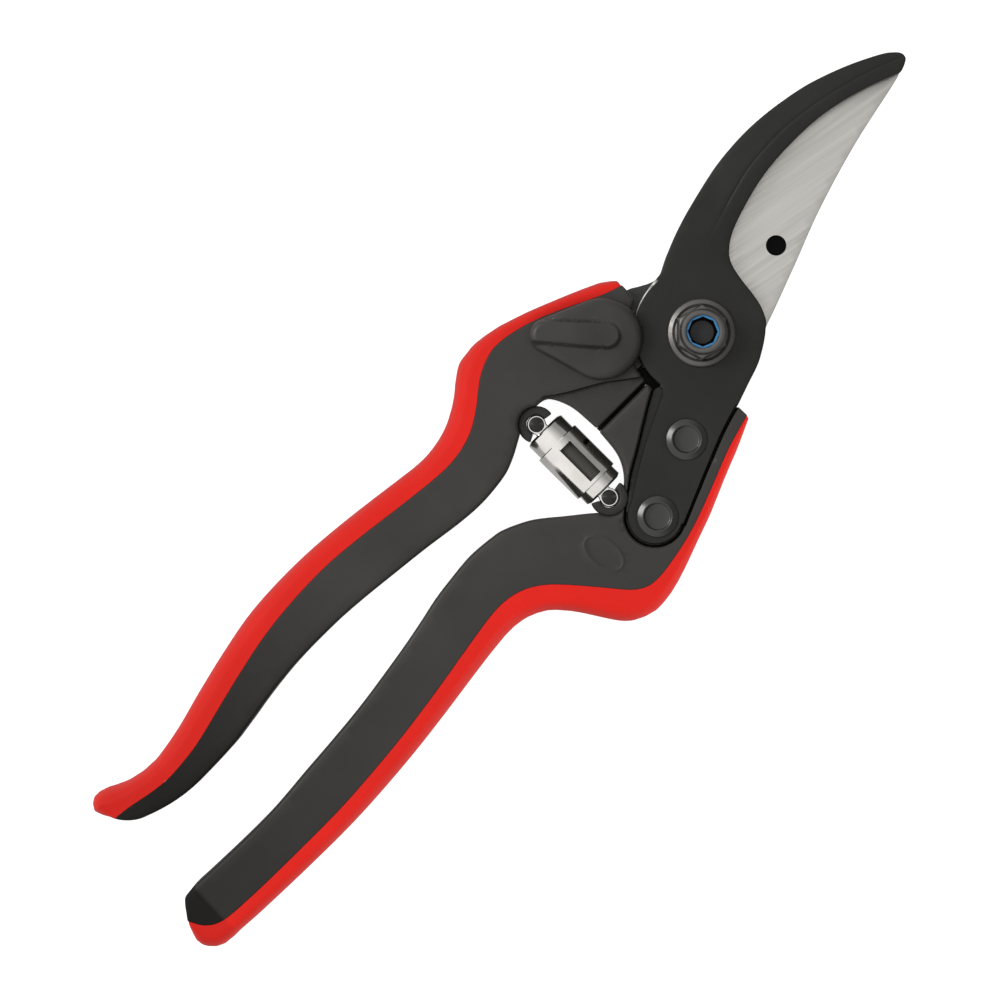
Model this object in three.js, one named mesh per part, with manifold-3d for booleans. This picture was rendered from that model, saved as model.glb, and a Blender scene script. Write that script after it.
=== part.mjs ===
// A one-hand bypass pruner, closed and lying flat on its back. The origin is on the pivot's axis, in the flat
// back of the pivot bolt's head, which is the plane the tool rests on. +X runs along the closed handles towards
// the blade tip, +Y towards the upper handle, +Z out of the front face. Millimetres. Heights below are measured
// from the plane between the two blades, and the finished group is lifted so that Z = 0 is the rest plane.
import * as THREE from "three";
import { mergeVertices } from "three/addons/utils/BufferGeometryUtils.js";
import Module from "manifold-3d";

// ---- Driving dimensions ----
const GAP = 0.3; // clearance between neighbouring pieces
const CIRCLE_STEPS = 28; // facets round a full circle
const RIVET_STEPS = 24;
const PIN_STEPS = 20;

// Layers along Z, from the plane between the blades
const BELOW_ALL = -20; // cuts that go right through run between these two heights
const ABOVE_ALL = 20;
const COUNTER_BOTTOM = 0.15;
const COUNTER_TOP = 4.6;
const CUTTER_BOTTOM = -3.7;
const CUTTER_TOP = -0.1;
const HEAD_HALF = 4.9; // half thickness of both handles beside the pivot
const GRIP_HALF = 7.2; // half thickness where the palm closes
const END_HALF = 6.0; // half thickness at the handle ends
const PALM_START = -44; // the handles are flat from here to the pivot
const PALM_FULL = -96;
const PALM_END = -112;
const HANDLE_END = -157;
const CATCH_DECK = 5.6; // raised front face of the upper handle under the thumb catch
const STOP_PAD = 4.4; // lower front face of the upper handle's stop pad

// Pivot
const PIVOT_BORE = 4.4;
const BUSH_RADIUS = 4.1;
const BUSH_BORE = 3.2;
const WASHER_RADIUS = 7.4;
const WASHER_THICK = 0.8;
const WASHER_TOP = CUTTER_BOTTOM - GAP;
const BOLT_RADIUS = 2.9;
const BOLT_HEAD_RADIUS = 6.5;
const BOLT_HEAD_FLAT = 4.6; // radius of the flat back of the head
const BOLT_SEAT = WASHER_TOP - WASHER_THICK - 0.05;
const BOLT_BACK = BOLT_SEAT - 2.7; // the lowest face of the tool
const BOLT_TOP = 9.6;
const BOLT_END_RADIUS = 2.4; // chamfered end of the thread
const NUT_FLANGE_RADIUS = 6.8;
const NUT_ACROSS_FLATS = 10;
const NUT_COLLAR_RADIUS = 4.4;
const NUT_HEX_TOP = 10.2;
const NUT_TOP = 11.9;
const NUT_TURN = 45; // degrees the hexagon is turned by
const INSERT_INNER = 2.75;
const INSERT_OUTER = 3.45;

// Handles
const HANDLE_ARC = 14.7; // both handles stay outside this radius round the pivot
const LOWER_STOP_Y = 0.4; // stop faces that meet when the handles close
const UPPER_STOP_Y = 1.2;
const POCKET_GAP = 0.35; // clearance round each blade tail in its handle
const LOWER_END_FACE_X = -5.15;
const UPPER_END_FACE_X = -4.5;

// Rivets
const RIVET_HEAD = 4.05;
const RIVET_SHANK = 2.6;
const RIVET_BACK = -HEAD_HALF + 1; // seat of the back head, sunk in the handle
const RIVET_CLEAR = 0.05; // between a rivet head and the face it sits on
const COUNTER_RIVETS = [[-17.1, -13.0], [-32.1, -19.8]];
const CUTTER_RIVETS = [[-24.0, 16.2], [-31.5, 19.9]];
const CUTTER_RIVET_HEAD = 3.6;
const CUTTER_RIVET_SHANK = 1.9;
const CUTTER_RIVET_TOP = 3.0;

// Thumb catch
const CATCH_PIVOT = [-14.6, 13.6];
const CATCH_RADIUS = 8.3;
const CATCH_TIP = [-22.5, 21.8];
const CATCH_TIP_RADIUS = 3.4;
const CATCH_BOTTOM = 5.9;
const CATCH_RIM = 8.3;
const CATCH_RIB_TOP = 10.6;
const CATCH_PIN_RADIUS = 1.5;
const CATCH_POCKET = 6.9;
const PAWL_BOTTOM = 1.4;
const PAWL_TOP = 3.8;
const PAWL_HUB = 3.2;
const PAWL_REACH = 13.7; // the pawl's nose ends this far from the blade pivot
const CATCH_RIM_ROUND = 0.9; // the rim is drawn in by this much at its top
const RIB_START = [-15.1, 13.7];
const RIB_END = [-21.7, 21.2];
const RIB_START_RADIUS = 2.2;
const RIB_END_RADIUS = 1.9;
const RIB_DRAFT = 0.8; // the rib narrows by this much on each side towards its crest
const CATCH_ANGLE = THREE.MathUtils.radToDeg(Math.atan2(-CATCH_PIVOT[1], -CATCH_PIVOT[0]));

// Spring cartridge, centred on the line SPRING_X and symmetric about Y = 0
const SPRING_X = -36.2;
const KNUCKLE_Y = 10.3;
const KNUCKLE_RADIUS = 1.95;
const KNUCKLE_HALF = 3.0;
const KNUCKLE_BORE = 1.25;
const SEAT_PIN_RADIUS = 0.8;
const SEAT_INNER = 2.4;
const SEAT_OUTER = 3.4;
const SEAT_LIP = 12; // degrees by which the socket wraps past half a turn at each end
const SEAT_CHEEK_SIDE = 1.4; // the cheek behind the knuckle reaches this far towards the cartridge
const TENON_START = 3; // along Y from the knuckle's axis
const TENON_END = 5.4;
const TENON_HALF = 1.9;
const TENON_LEVELS = [1.1, 3.9];
const CUP_END = 8.2;
const CUP_RADIUS = 4.65;
const CUP_INNER = 4.1;
const SLEEVE_RADIUS = 5.35;
const SLEEVE_INNER = 4.95;
const SLEEVE_BOTTOM = -5.9;
const SLEEVE_TOP = 4.5;
const PLUNGER_RADIUS = 3.75;
const PLUNGER_INNER = 3.25;
const COIL_RADIUS = 2.4;
const COIL_WIRE = 0.45;
const COIL_TURNS = 7;
const COIL_INSET = 1.5; // from the outer end of each cup to the coil's end
const CUP_BASE = 0.8; // thickness of each cup's closed end
const CUP_MOUTH = 3.6; // open end of the lower cup
const WINDOW_DEPTH = 1.5; // the front windows are cut down to this height
const SLEEVE_WINDOW = [2.9, -5.3, 3.5]; // width, start and end along the axis
const CUP_WINDOW = [3.6, -5.6, 3.0];
const NECK_HALF = 1.5;

// Handle edges. Each station is a point on the seam between core and grip, and the point across from it on
// the grip's back, from the head of the handle to its end.
const LOWER_STATIONS = [
  [-5.15, -18.1, -5.15, -18.9], [-12.4, -20.2, -11.5, -21.8], [-18, -22.4, -17, -24], [-25, -25.1, -24, -27],
  [-30.6, -26.9, -29.8, -29.1], [-36.4, -28.1, -36.2, -31.4], [-40.4, -28.6, -41.5, -32.8],
  [-43.5, -28.2, -46.1, -32.9], [-46.2, -26.4, -50.4, -31.1], [-49.1, -23, -53.1, -28.1],
  [-52.9, -18.5, -56.5, -22.8], [-57, -14.1, -60, -18.5], [-61, -11.4, -63.2, -16.4],
  [-65.5, -10.2, -66.5, -15.4],
  [-70.8, -10.4, -71, -15.25], [-79.6, -11.8, -80, -16.3], [-97.3, -14.5, -98, -18.7],
  [-118.1, -16.2, -118.1, -20.15], [-139, -16.1, -139.5, -19.9], [-147.9, -15.8, -149.7, -19.4],
  [-151.5, -15.1, -154.3, -19], [-153.4, -13.9, -156.9, -17], [-154.5, -12.6, -157.5, -14.3],
  [-155.6, -10.5, -156.2, -11.2],
];
const UPPER_STATIONS = [
  [-4.5, 17.9, -4.6, 19.6], [-8.6, 19.3, -7.4, 21.7], [-14.9, 22.3, -13.5, 24.4], [-20.3, 24.7, -19.3, 26.8],
  [-26, 26.5, -25.2, 28.9], [-31.9, 27.1, -31.5, 30.4], [-37.4, 25, -38.4, 30], [-42.1, 21.4, -44, 26],
  [-47.1, 18.4, -48.8, 23.2], [-52.9, 17, -53.8, 21.8], [-58.8, 17.1, -59, 21.6], [-67.7, 18.1, -68, 22.75],
  [-85.4, 20, -85.6, 24.6], [-103.3, 19, -103.6, 24.2], [-120.7, 15.2, -122, 20.3], [-129.4, 13.1, -130.8, 18],
  [-138.2, 12.3, -138.5, 16.9], [-144.1, 13.1, -144.4, 17.8], [-147.2, 13.7, -149, 19.9],
  [-149.3, 14, -152, 20.2], [-150.6, 14.15, -153.7, 18], [-151.4, 14.2, -152.2, 15.1],
];
// Inner edges, from the handle end to the spring window and on to the stop face.
const LOWER_INNER = [
  [-154.7, -9.2], [-152.2, -6.7], [-146.4, -6.6], [-137.4, -6.9], [-128.4, -6.9], [-119.5, -6.2],
  [-101.9, -4.7],
  [-84.5, -2], [-75.9, -0.2], [-70.1, 0.6], [-64.2, 1.1], [-58.3, 0.6], [-55.4, -0.1], [-50.3, -2.6],
  [-45.6, -6.3], [-41, -10], [-39.2, -11.3], [-36.2, -11.9], [-33.4, -11.4], [-31.2, -9.7], [-29.5, -7.2],
  [-28.6, -4.4], [-28.15, LOWER_STOP_Y],
];
const UPPER_INNER = [
  [-150.4, 12.7], [-148.2, 10.8], [-142.8, 8.8], [-137.1, 7.7], [-131.1, 7.6], [-122.3, 8.1], [-113.5, 9.5],
  [-104.7, 10.5], [-95.7, 10.7], [-86.8, 10.3], [-69.1, 8.4], [-60.3, 7.2], [-54.4, 6.9], [-48.5, 7.5],
  [-45.7, 8.3], [-42.9, 9.6], [-39.8, 11.3], [-37.2, 12.4], [-34.3, 13], [-31.5, 12.7], [-30.2, 11.6],
  [-29.1, 9.4], [-28.4, 6.7], [-28.05, UPPER_STOP_Y],
];
// Foot of the step between the raised deck of the upper handle and its stop pad.
const STEP_LINE = [[-32, 13.2], [-27.5, 10.5], [-24, 8.5], [-20.9, 6.7], [-17.8, 4.4], [-14, 1.6]];

// Counter blade: hooked jaw, pivot boss and tail.
const HOOK_BACK = [
  [-13, -1.8], [-13.1, 0], [-12.9, 3], [-11.6, 6.7], [-9.3, 9.8], [-6.2, 12.1], [-3.2, 13.3], [0.2, 13.9],
  [2.8, 14.2], [5, 15.3], [10, 17.4], [14.9, 19], [20.1, 20.3], [25, 21.4], [29.9, 22], [35, 22.2],
  [40.1, 21.9], [45, 21.2], [49.9, 20.2], [55.1, 18.5], [60, 16.5], [64.9, 14], [66.7, 12.7], [67.9, 11.3],
  [67.8, 9.9], [66.3, 9], [65.1, 8.6],
];
const HOOK_INSIDE = [
  [65.1, 8.6], [60, 10.6], [55.1, 12.2], [49.9, 13.4], [45, 14], [40.1, 14.1], [35, 13.9], [29.9, 13.2],
  [25, 12], [20.1, 10.4], [17.3, 9], [14.9, 6.9], [13.8, 4.5], [13.2, 1.3], [12.9, -1.4], [12.3, -4.5],
  [11, -7.4], [9.8, -8.5], [7.9, -10], [4, -12.3], [0, -13.7],
];
const TAIL_RIGHT = [[0, -13.7], [-5.3, -15.5], [-10.1, -16.9], [-17.9, -19.95], [-25.7, -23.2], [-29.5, -24.8]];
const TAIL_LEFT = [[-35.8, -14.5], [-33.9, -13.1], [-29.6, -9.95], [-26.2, -8], [-21.4, -5.1], [-15.6, -1.7]];
const TAIL_END = [-32.4, -19.4];
const TAIL_END_RADIUS = 5.95;
const TAIL_SHOULDER = [[-14.9, -1.35], [-14, -1.45]];
const BOSS_RADIUS = 13.2;
const NOTCH_DEPTH = 1.2; // locking notch in the boss, under the thumb catch
const NOTCH_WIDTH = 3.4;

// Cutting blade: spine, tang and the edge that passes behind the hook.
const CUTTER_SPINE = [
  [66.2, 9.6], [65.1, 8.6], [60.7, 7.5], [51.3, 5.5], [42, 3], [32.7, 0], [25, -3], [14.9, -6.8], [11.2, -8.1],
];
const CUTTER_TANG_INNER = [[-14.2, 3.9], [-20.5, 8], [-27, 12.3]];
const CUTTER_TANG_OUTER = [
  [-25.8, 23.3], [-18, 20.4], [-10.2, 18], [-4.4, 16.7], [-2.4, 15.7], [-0.2, 14.5], [1.5, 13.9],
];
const CUTTER_EDGE = [
  [4.5, 13.3], [8, 12.8], [15, 12.6], [20, 13.7], [25, 15.1], [30, 16.2], [35, 16.8], [40, 17], [45, 16.8],
  [50, 16.1], [55, 14.8], [60, 13], [66.2, 9.6],
];
const CUTTER_BOSS = 12.95;
const CUTTER_BOSS_START = -44; // degrees, clockwise to the end
const CUTTER_BOSS_END = -197;
const CUTTER_END = [-31.5, 19.6];
const CUTTER_END_RADIUS = 5.4;
const SAP_HOLE = [23.1, 2.05]; // blind dimple near the spine
const SAP_HOLE_RADIUS = 1.95;
const SAP_HOLE_DEPTH = 1.8;

// ---- Geometry helpers ----
const wasm = await Module();
wasm.setup();

const vectors = (points) => points.map(([x, y]) => new THREE.Vector2(x, y));

// A smooth stretch through the given points, with a few chords between each two.
function smooth(points, chords = 2) {
  const curve = new THREE.SplineCurve(vectors(points));
  return curve.getPoints(chords * (points.length - 1)).map((p) => [p.x, p.y]);
}

function arc([x, y], radius, fromDegrees, toDegrees, steps = 12) {
  const points = [];
  for (let i = 0; i <= steps; i += 1) {
    const angle = THREE.MathUtils.degToRad(fromDegrees + ((toDegrees - fromDegrees) * i) / steps);
    points.push([x + radius * Math.cos(angle), y + radius * Math.sin(angle)]);
  }
  return points;
}

// Removes points that repeat the one before, which would make slivers in a solid.
function tidyLoop(points) {
  const kept = points.filter((p, i) => {
    const before = points[(i + points.length - 1) % points.length];
    return Math.hypot(p[0] - before[0], p[1] - before[1]) > 0.02;
  });
  return kept;
}

// Moves every point of a closed loop outwards along its own normal.
function grow(points, distance) {
  const loop = tidyLoop(points);
  const side = THREE.ShapeUtils.isClockWise(vectors(loop)) ? -1 : 1;
  return loop.map((p, i) => {
    const before = loop[(i + loop.length - 1) % loop.length];
    const after = loop[(i + 1) % loop.length];
    const along = new THREE.Vector2(after[0] - before[0], after[1] - before[1]).normalize();
    return [p[0] + side * distance * along.y, p[1] - side * distance * along.x];
  });
}

// A closed mesh as a solid. Triangles that have collapsed onto a pole are left out.
function solid(geometry) {
  const plain = geometry.clone();
  plain.deleteAttribute("normal");
  plain.deleteAttribute("uv");
  const merged = mergeVertices(plain, 1e-4);
  const all = merged.index.array;
  const kept = [];
  for (let i = 0; i < all.length; i += 3) {
    const [a, b, c] = [all[i], all[i + 1], all[i + 2]];
    if (a !== b && b !== c && c !== a) kept.push(a, b, c);
  }
  const mesh = new wasm.Mesh({
    numProp: 3,
    vertProperties: merged.attributes.position.array,
    triVerts: new Uint32Array(kept),
  });
  return new wasm.Manifold(mesh);
}

function plate(points, bottom, top) {
  const shape = new THREE.Shape(vectors(tidyLoop(points)));
  const geometry = new THREE.ExtrudeGeometry(shape, { depth: top - bottom, bevelEnabled: false });
  return solid(geometry.translate(0, 0, bottom));
}

const disc = ([x, y], radius, bottom, top, steps = CIRCLE_STEPS) =>
  plate(arc([x, y], radius, 0, 360, steps).slice(0, -1), bottom, top);

// A turned solid from [radius, height] pairs, which start and end on the axis or close on themselves.
function turned(profile, [x, y] = [0, 0], steps = CIRCLE_STEPS) {
  const geometry = new THREE.LatheGeometry(vectors(profile), steps);
  const body = solid(geometry.rotateX(Math.PI / 2));
  const upright = body.volume() < 0 ? solid(flipped(geometry)) : body;
  return upright.translate([x, y, 0]);
}

function flipped(geometry) {
  const turnedOut = geometry.clone();
  const index = turnedOut.index.array;
  for (let i = 0; i < index.length; i += 3) {
    [index[i + 1], index[i + 2]] = [index[i + 2], index[i + 1]];
  }
  return turnedOut;
}

// A ring profile for a tube between two heights.
const tubeProfile = (inner, outer, bottom, top) => [
  [inner, bottom], [outer, bottom], [outer, top], [inner, top], [inner, bottom],
];

// Joins rings of equal point counts into one closed body with flat ends.
function loft(rings) {
  const count = rings[0].length;
  const positions = rings.flat(2);
  const triangles = [];
  for (let ring = 0; ring + 1 < rings.length; ring += 1) {
    for (let i = 0; i < count; i += 1) {
      const a = ring * count + i;
      const b = ring * count + ((i + 1) % count);
      triangles.push(a, b, b + count, a, b + count, a + count);
    }
  }
  const last = (rings.length - 1) * count;
  for (let i = 1; i + 1 < count; i += 1) {
    triangles.push(0, i + 1, i, last, last + i, last + i + 1);
  }
  const geometry = new THREE.BufferGeometry();
  geometry.setAttribute("position", new THREE.Float32BufferAttribute(positions, 3));
  geometry.setIndex(triangles);
  const body = solid(geometry);
  return body.volume() < 0 ? solid(flipped(geometry)) : body;
}

function piece(name, body, material) {
  const { vertProperties, triVerts } = body.getMesh();
  const geometry = new THREE.BufferGeometry();
  geometry.setAttribute("position", new THREE.BufferAttribute(new Float32Array(vertProperties), 3));
  geometry.setIndex(new THREE.BufferAttribute(new Uint32Array(triVerts), 1));
  geometry.computeVertexNormals();
  const mesh = new THREE.Mesh(geometry, material);
  mesh.name = name;
  return mesh;
}

// ---- Materials ----
const finish = (color, roughness, metalness) =>
  new THREE.MeshStandardMaterial({ color, roughness, metalness });
const corePlastic = () => finish(0x3d3c39, 0.62, 0);
const gripRubber = () => finish(0xe02c22, 0.48, 0);
const blackSteel = () => finish(0x3a3935, 0.45, 0.6);
const satinSteel = () => finish(0xbebbb4, 0.32, 1);
const nickel = () => finish(0xd0cdc8, 0.16, 1);
const blackPlastic = () => finish(0x1b1b1a, 0.5, 0);
const catchPlastic = () => finish(0x464441, 0.42, 0);
const blueNylon = () => finish(0x4696d2, 0.4, 0);
const springWire = () => finish(0x8c8a86, 0.3, 1);
const bronze = () => finish(0x9a7442, 0.4, 1);

// ---- Handles ----
const smoothstep = (from, to, x) => THREE.MathUtils.smoothstep((x - from) / (to - from), 0, 1);

// Half thickness of a handle: flat at the head, fullest in the palm, a little thinner at the end.
function halfThickness(x) {
  const fuller = (GRIP_HALF - HEAD_HALF) * smoothstep(PALM_START, PALM_FULL, x);
  const thinner = (GRIP_HALF - END_HALF) * smoothstep(PALM_END, HANDLE_END, x);
  return HEAD_HALF + fuller - thinner;
}

// The front face never lies below the handle's deck, the level it has beside the pivot.
const frontHalf = (x, deck) => Math.max(deck, halfThickness(x));

// Everything between the back and front faces of a handle, as one long block.
function thicknessBlock(deck) {
  const stride = 6;
  const stations = [10, PALM_START];
  for (let x = PALM_START - stride; x >= HANDLE_END - stride; x -= stride) stations.push(x);
  const front = stations.map((x) => [x, frontHalf(x, deck)]);
  const back = stations.map((x) => [x, -halfThickness(x)]).reverse();
  const shape = new THREE.Shape(vectors([...front, ...back]));
  const geometry = new THREE.ExtrudeGeometry(shape, { depth: 100, bevelEnabled: false });
  return solid(geometry.rotateX(Math.PI / 2).translate(0, 50, 0));
}

const handleCore = (loop, deck) => plate(loop, BELOW_ALL, ABOVE_ALL).intersect(thicknessBlock(deck));

const seamOf = (stations) => smooth(stations.map(([x, y]) => [x, y]));
const backOf = (stations) => smooth(stations.map(([, , x, y]) => [x, y]));

// The grip's section is flat against the core and rounds over the back of the handle.
function gripSection([seamX, seamY], [backX, backY], deck) {
  const middle = (seamX + backX) / 2;
  const [low, high] = [halfThickness(middle), frontHalf(middle, deck)];
  const width = Math.hypot(backX - seamX, backY - seamY);
  const inset = Math.min(GAP / width, 0.4);
  const section = [[inset, -1], [0.62, -0.96], [0.86, -0.76], [0.97, -0.42], [1, 0]];
  const upper = section.slice(0, -1).map(([across, up]) => [across, -up]).reverse();
  return [...section, ...upper].map(([across, up]) => [
    seamX + across * (backX - seamX),
    seamY + across * (backY - seamY),
    up * (up > 0 ? high : low),
  ]);
}

function gripBody(stations, deck) {
  const seam = seamOf(stations);
  const back = backOf(stations);
  return loft(seam.map((point, i) => gripSection(point, back[i], deck)));
}

// A rectangle centred on the cartridge's axis, between two distances along it.
const crossBar = (half, from, to) => [
  [SPRING_X - half, from], [SPRING_X + half, from], [SPRING_X + half, to], [SPRING_X - half, to],
];

// Pocket and tenon slot for one spring seat. Side is 1 on the upper handle and -1 on the lower one.
function seatCut(side) {
  const centre = [SPRING_X, side * KNUCKLE_Y];
  const round = disc(centre, SEAT_OUTER + GAP, BELOW_ALL, ABOVE_ALL);
  return round.add(seatTenon(side, GAP));
}

// The tenon of a spring seat lies on the side of its handle that holds no blade tail.
function seatTenon(side, extra) {
  const from = side * (KNUCKLE_Y + TENON_START);
  const to = side * (KNUCKLE_Y + TENON_END + extra);
  const half = TENON_HALF + extra;
  const [near, far] = TENON_LEVELS;
  const [low, high] = side > 0 ? [near, far] : [-far, -near];
  return plate(crossBar(half, from, to), low - extra, high + extra);
}

function tailLoop() {
  const end = arc(TAIL_END, TAIL_END_RADIUS, -61.5, -235, 12);
  return [...smooth(TAIL_RIGHT), ...end, ...smooth(TAIL_LEFT), ...TAIL_SHOULDER];
}

function tangLoop() {
  const end = arc(CUTTER_END, CUTTER_END_RADIUS, -60, -295, 14);
  return [...smooth(CUTTER_TANG_INNER), ...end, ...smooth(CUTTER_TANG_OUTER)];
}

function lowerHandleCore() {
  const startAngle = 180 - THREE.MathUtils.radToDeg(Math.asin(LOWER_STOP_Y / HANDLE_ARC));
  const endAngle = 360 - THREE.MathUtils.radToDeg(Math.acos(LOWER_END_FACE_X / HANDLE_ARC));
  const mouth = arc([0, 0], HANDLE_ARC, startAngle, endAngle, 12);
  const loop = [...seamOf(LOWER_STATIONS), ...smooth(LOWER_INNER), ...mouth];
  const pocket = plate(grow([...tailLoop(), [0, 0]], POCKET_GAP), COUNTER_BOTTOM - GAP, ABOVE_ALL);
  let core = handleCore(loop, HEAD_HALF).subtract(pocket).subtract(seatCut(-1));
  for (const centre of COUNTER_RIVETS) {
    core = core.subtract(disc(centre, RIVET_SHANK + GAP, BELOW_ALL, ABOVE_ALL, RIVET_STEPS));
    core = core.subtract(disc(centre, RIVET_HEAD, BELOW_ALL, RIVET_BACK, RIVET_STEPS));
  }
  return core;
}

function upperHandleCore() {
  const startAngle = 180 - THREE.MathUtils.radToDeg(Math.asin(UPPER_STOP_Y / HANDLE_ARC));
  const endAngle = THREE.MathUtils.radToDeg(Math.acos(UPPER_END_FACE_X / HANDLE_ARC));
  const mouth = arc([0, 0], HANDLE_ARC, startAngle, endAngle, 12);
  const loop = [...seamOf(UPPER_STATIONS), ...smooth(UPPER_INNER), ...mouth];
  const pad = plate([...smooth(STEP_LINE), [-14, -5], [-32, -5]], STOP_PAD, ABOVE_ALL);
  const pocket = plate(grow([...tangLoop(), [0, 0]], POCKET_GAP), BELOW_ALL, CUTTER_TOP + GAP);
  const catchPocket = disc(CATCH_PIVOT, CATCH_POCKET, PAWL_BOTTOM - GAP, ABOVE_ALL);
  const pinBore = disc(CATCH_PIVOT, CATCH_PIN_RADIUS + GAP, 0, ABOVE_ALL, PIN_STEPS);
  let core = handleCore(loop, CATCH_DECK).subtract(pad).subtract(pocket);
  core = core.subtract(catchPocket).subtract(pinBore).subtract(seatCut(1));
  for (const centre of CUTTER_RIVETS) {
    const room = CUTTER_RIVET_SHANK + GAP;
    core = core.subtract(disc(centre, room, BELOW_ALL, CUTTER_RIVET_TOP + GAP, PIN_STEPS));
  }
  return core;
}

// ---- Blades ----
function counterBlade() {
  const loop = [...smooth(HOOK_BACK), ...smooth(HOOK_INSIDE), ...tailLoop()];
  let blade = plate(loop, COUNTER_BOTTOM, COUNTER_TOP);
  blade = blade.subtract(disc([0, 0], PIVOT_BORE, BELOW_ALL, ABOVE_ALL));
  for (const centre of COUNTER_RIVETS) {
    blade = blade.subtract(disc(centre, RIVET_SHANK + GAP, BELOW_ALL, ABOVE_ALL, RIVET_STEPS));
  }
  const half = NOTCH_WIDTH / 2;
  const floor = BOSS_RADIUS - NOTCH_DEPTH;
  const outside = 1.5 * BOSS_RADIUS;
  const notch = plate([[floor, -half], [outside, -half], [outside, half], [floor, half]], BELOW_ALL, ABOVE_ALL);
  return blade.subtract(notch.rotate([0, 0, CATCH_ANGLE + 180]));
}

function cuttingBlade() {
  const boss = arc([0, 0], CUTTER_BOSS, CUTTER_BOSS_START, CUTTER_BOSS_END, 18);
  const loop = [...smooth(CUTTER_SPINE), ...boss, ...tangLoop(), ...smooth(CUTTER_EDGE)];
  let blade = plate(loop, CUTTER_BOTTOM, CUTTER_TOP);
  blade = blade.subtract(disc([0, 0], PIVOT_BORE, BELOW_ALL, ABOVE_ALL));
  for (const centre of CUTTER_RIVETS) {
    blade = blade.subtract(disc(centre, CUTTER_RIVET_SHANK + GAP, BELOW_ALL, ABOVE_ALL, PIN_STEPS));
  }
  return blade.subtract(disc(SAP_HOLE, SAP_HOLE_RADIUS, CUTTER_TOP - SAP_HOLE_DEPTH, ABOVE_ALL, RIVET_STEPS));
}

// A rivet through the counter blade and the lower handle, with a dished head at each end.
function counterRivet(centre) {
  const top = COUNTER_TOP + RIVET_CLEAR;
  const back = RIVET_BACK - RIVET_CLEAR;
  const backHead = RIVET_HEAD - 0.35;
  const profile = [
    [0, back - 0.85], [backHead - 0.3, back - 0.85], [backHead, back - 0.55], [backHead, back],
    [RIVET_SHANK, back], [RIVET_SHANK, top], [RIVET_HEAD, top], [RIVET_HEAD, top + 0.5],
    [RIVET_HEAD - 0.3, top + 0.95], [RIVET_HEAD - 0.8, top + 0.95], [2.7, top + 0.5], [0, top + 0.25],
  ];
  return turned(profile, centre, RIVET_STEPS);
}

// A blind rivet that holds the cutting blade's tang in the back of the upper handle.
function cutterRivet(centre) {
  const face = CUTTER_BOTTOM - RIVET_CLEAR;
  const profile = [
    [0, face - 0.7], [2.4, face - 0.75], [3, face - 0.95], [3.4, face - 0.85], [CUTTER_RIVET_HEAD, face - 0.5],
    [CUTTER_RIVET_HEAD, face], [CUTTER_RIVET_SHANK, face], [CUTTER_RIVET_SHANK, CUTTER_RIVET_TOP],
    [0, CUTTER_RIVET_TOP],
  ];
  return turned(profile, centre, RIVET_STEPS);
}

// ---- Pivot ----
function pivotBolt() {
  const profile = [
    [0, BOLT_BACK], [BOLT_HEAD_FLAT, BOLT_BACK], [5.7, BOLT_BACK + 0.45], [6.3, BOLT_BACK + 1.2],
    [BOLT_HEAD_RADIUS, BOLT_BACK + 1.9], [BOLT_HEAD_RADIUS, BOLT_SEAT], [BOLT_RADIUS, BOLT_SEAT],
    [BOLT_RADIUS, BOLT_TOP - 0.5], [BOLT_END_RADIUS, BOLT_TOP], [0, BOLT_TOP],
  ];
  return turned(profile);
}

function pivotNut() {
  const face = COUNTER_TOP + 0.05;
  const shoulder = face + 2; // top of the flange's cone
  const flange = turned([
    [0, face], [NUT_FLANGE_RADIUS - 0.2, face], [NUT_FLANGE_RADIUS, face + 0.3],
    [NUT_FLANGE_RADIUS, face + 0.9], [5.3, shoulder], [0, shoulder],
  ]);
  const hexRadius = NUT_ACROSS_FLATS / Math.sqrt(3);
  const corners = arc([0, 0], hexRadius, NUT_TURN, NUT_TURN + 360, 6).slice(0, -1);
  const hex = plate(corners, face + 0.5, NUT_HEX_TOP);
  const chamfer = turned([
    [0, face], [8, face], [8, NUT_HEX_TOP - 1.6], [4.9, NUT_HEX_TOP], [0, NUT_HEX_TOP],
  ]);
  const collar = disc([0, 0], NUT_COLLAR_RADIUS, face + 1, NUT_TOP);
  const bore = disc([0, 0], BOLT_RADIUS + GAP, BELOW_ALL, ABOVE_ALL);
  const insertRoom = disc([0, 0], INSERT_OUTER + GAP, NUT_HEX_TOP - 0.1, NUT_TOP - 0.35);
  return flange.add(hex.intersect(chamfer)).add(collar).subtract(bore).subtract(insertRoom);
}

const nutInsert = () =>
  turned(tubeProfile(INSERT_INNER, INSERT_OUTER, NUT_HEX_TOP + 0.2, NUT_TOP - 0.6));

const pivotBush = () =>
  turned(tubeProfile(BUSH_BORE, BUSH_RADIUS, CUTTER_BOTTOM + 0.05, COUNTER_TOP - 0.05));

const pivotWasher = () =>
  turned(tubeProfile(BUSH_BORE, WASHER_RADIUS, WASHER_TOP - WASHER_THICK, WASHER_TOP));

// ---- Thumb catch ----
// The outline of two circles and their common tangents.
function dropLoop(big, bigRadius, small, smallRadius) {
  const along = THREE.MathUtils.radToDeg(Math.atan2(small[1] - big[1], small[0] - big[0]));
  const distance = Math.hypot(small[0] - big[0], small[1] - big[1]);
  const open = THREE.MathUtils.radToDeg(Math.acos((bigRadius - smallRadius) / distance));
  const bigArc = arc(big, bigRadius, along + open, along + 360 - open, 26);
  return [...bigArc, ...arc(small, smallRadius, along - open, along + open, 12)];
}

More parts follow.
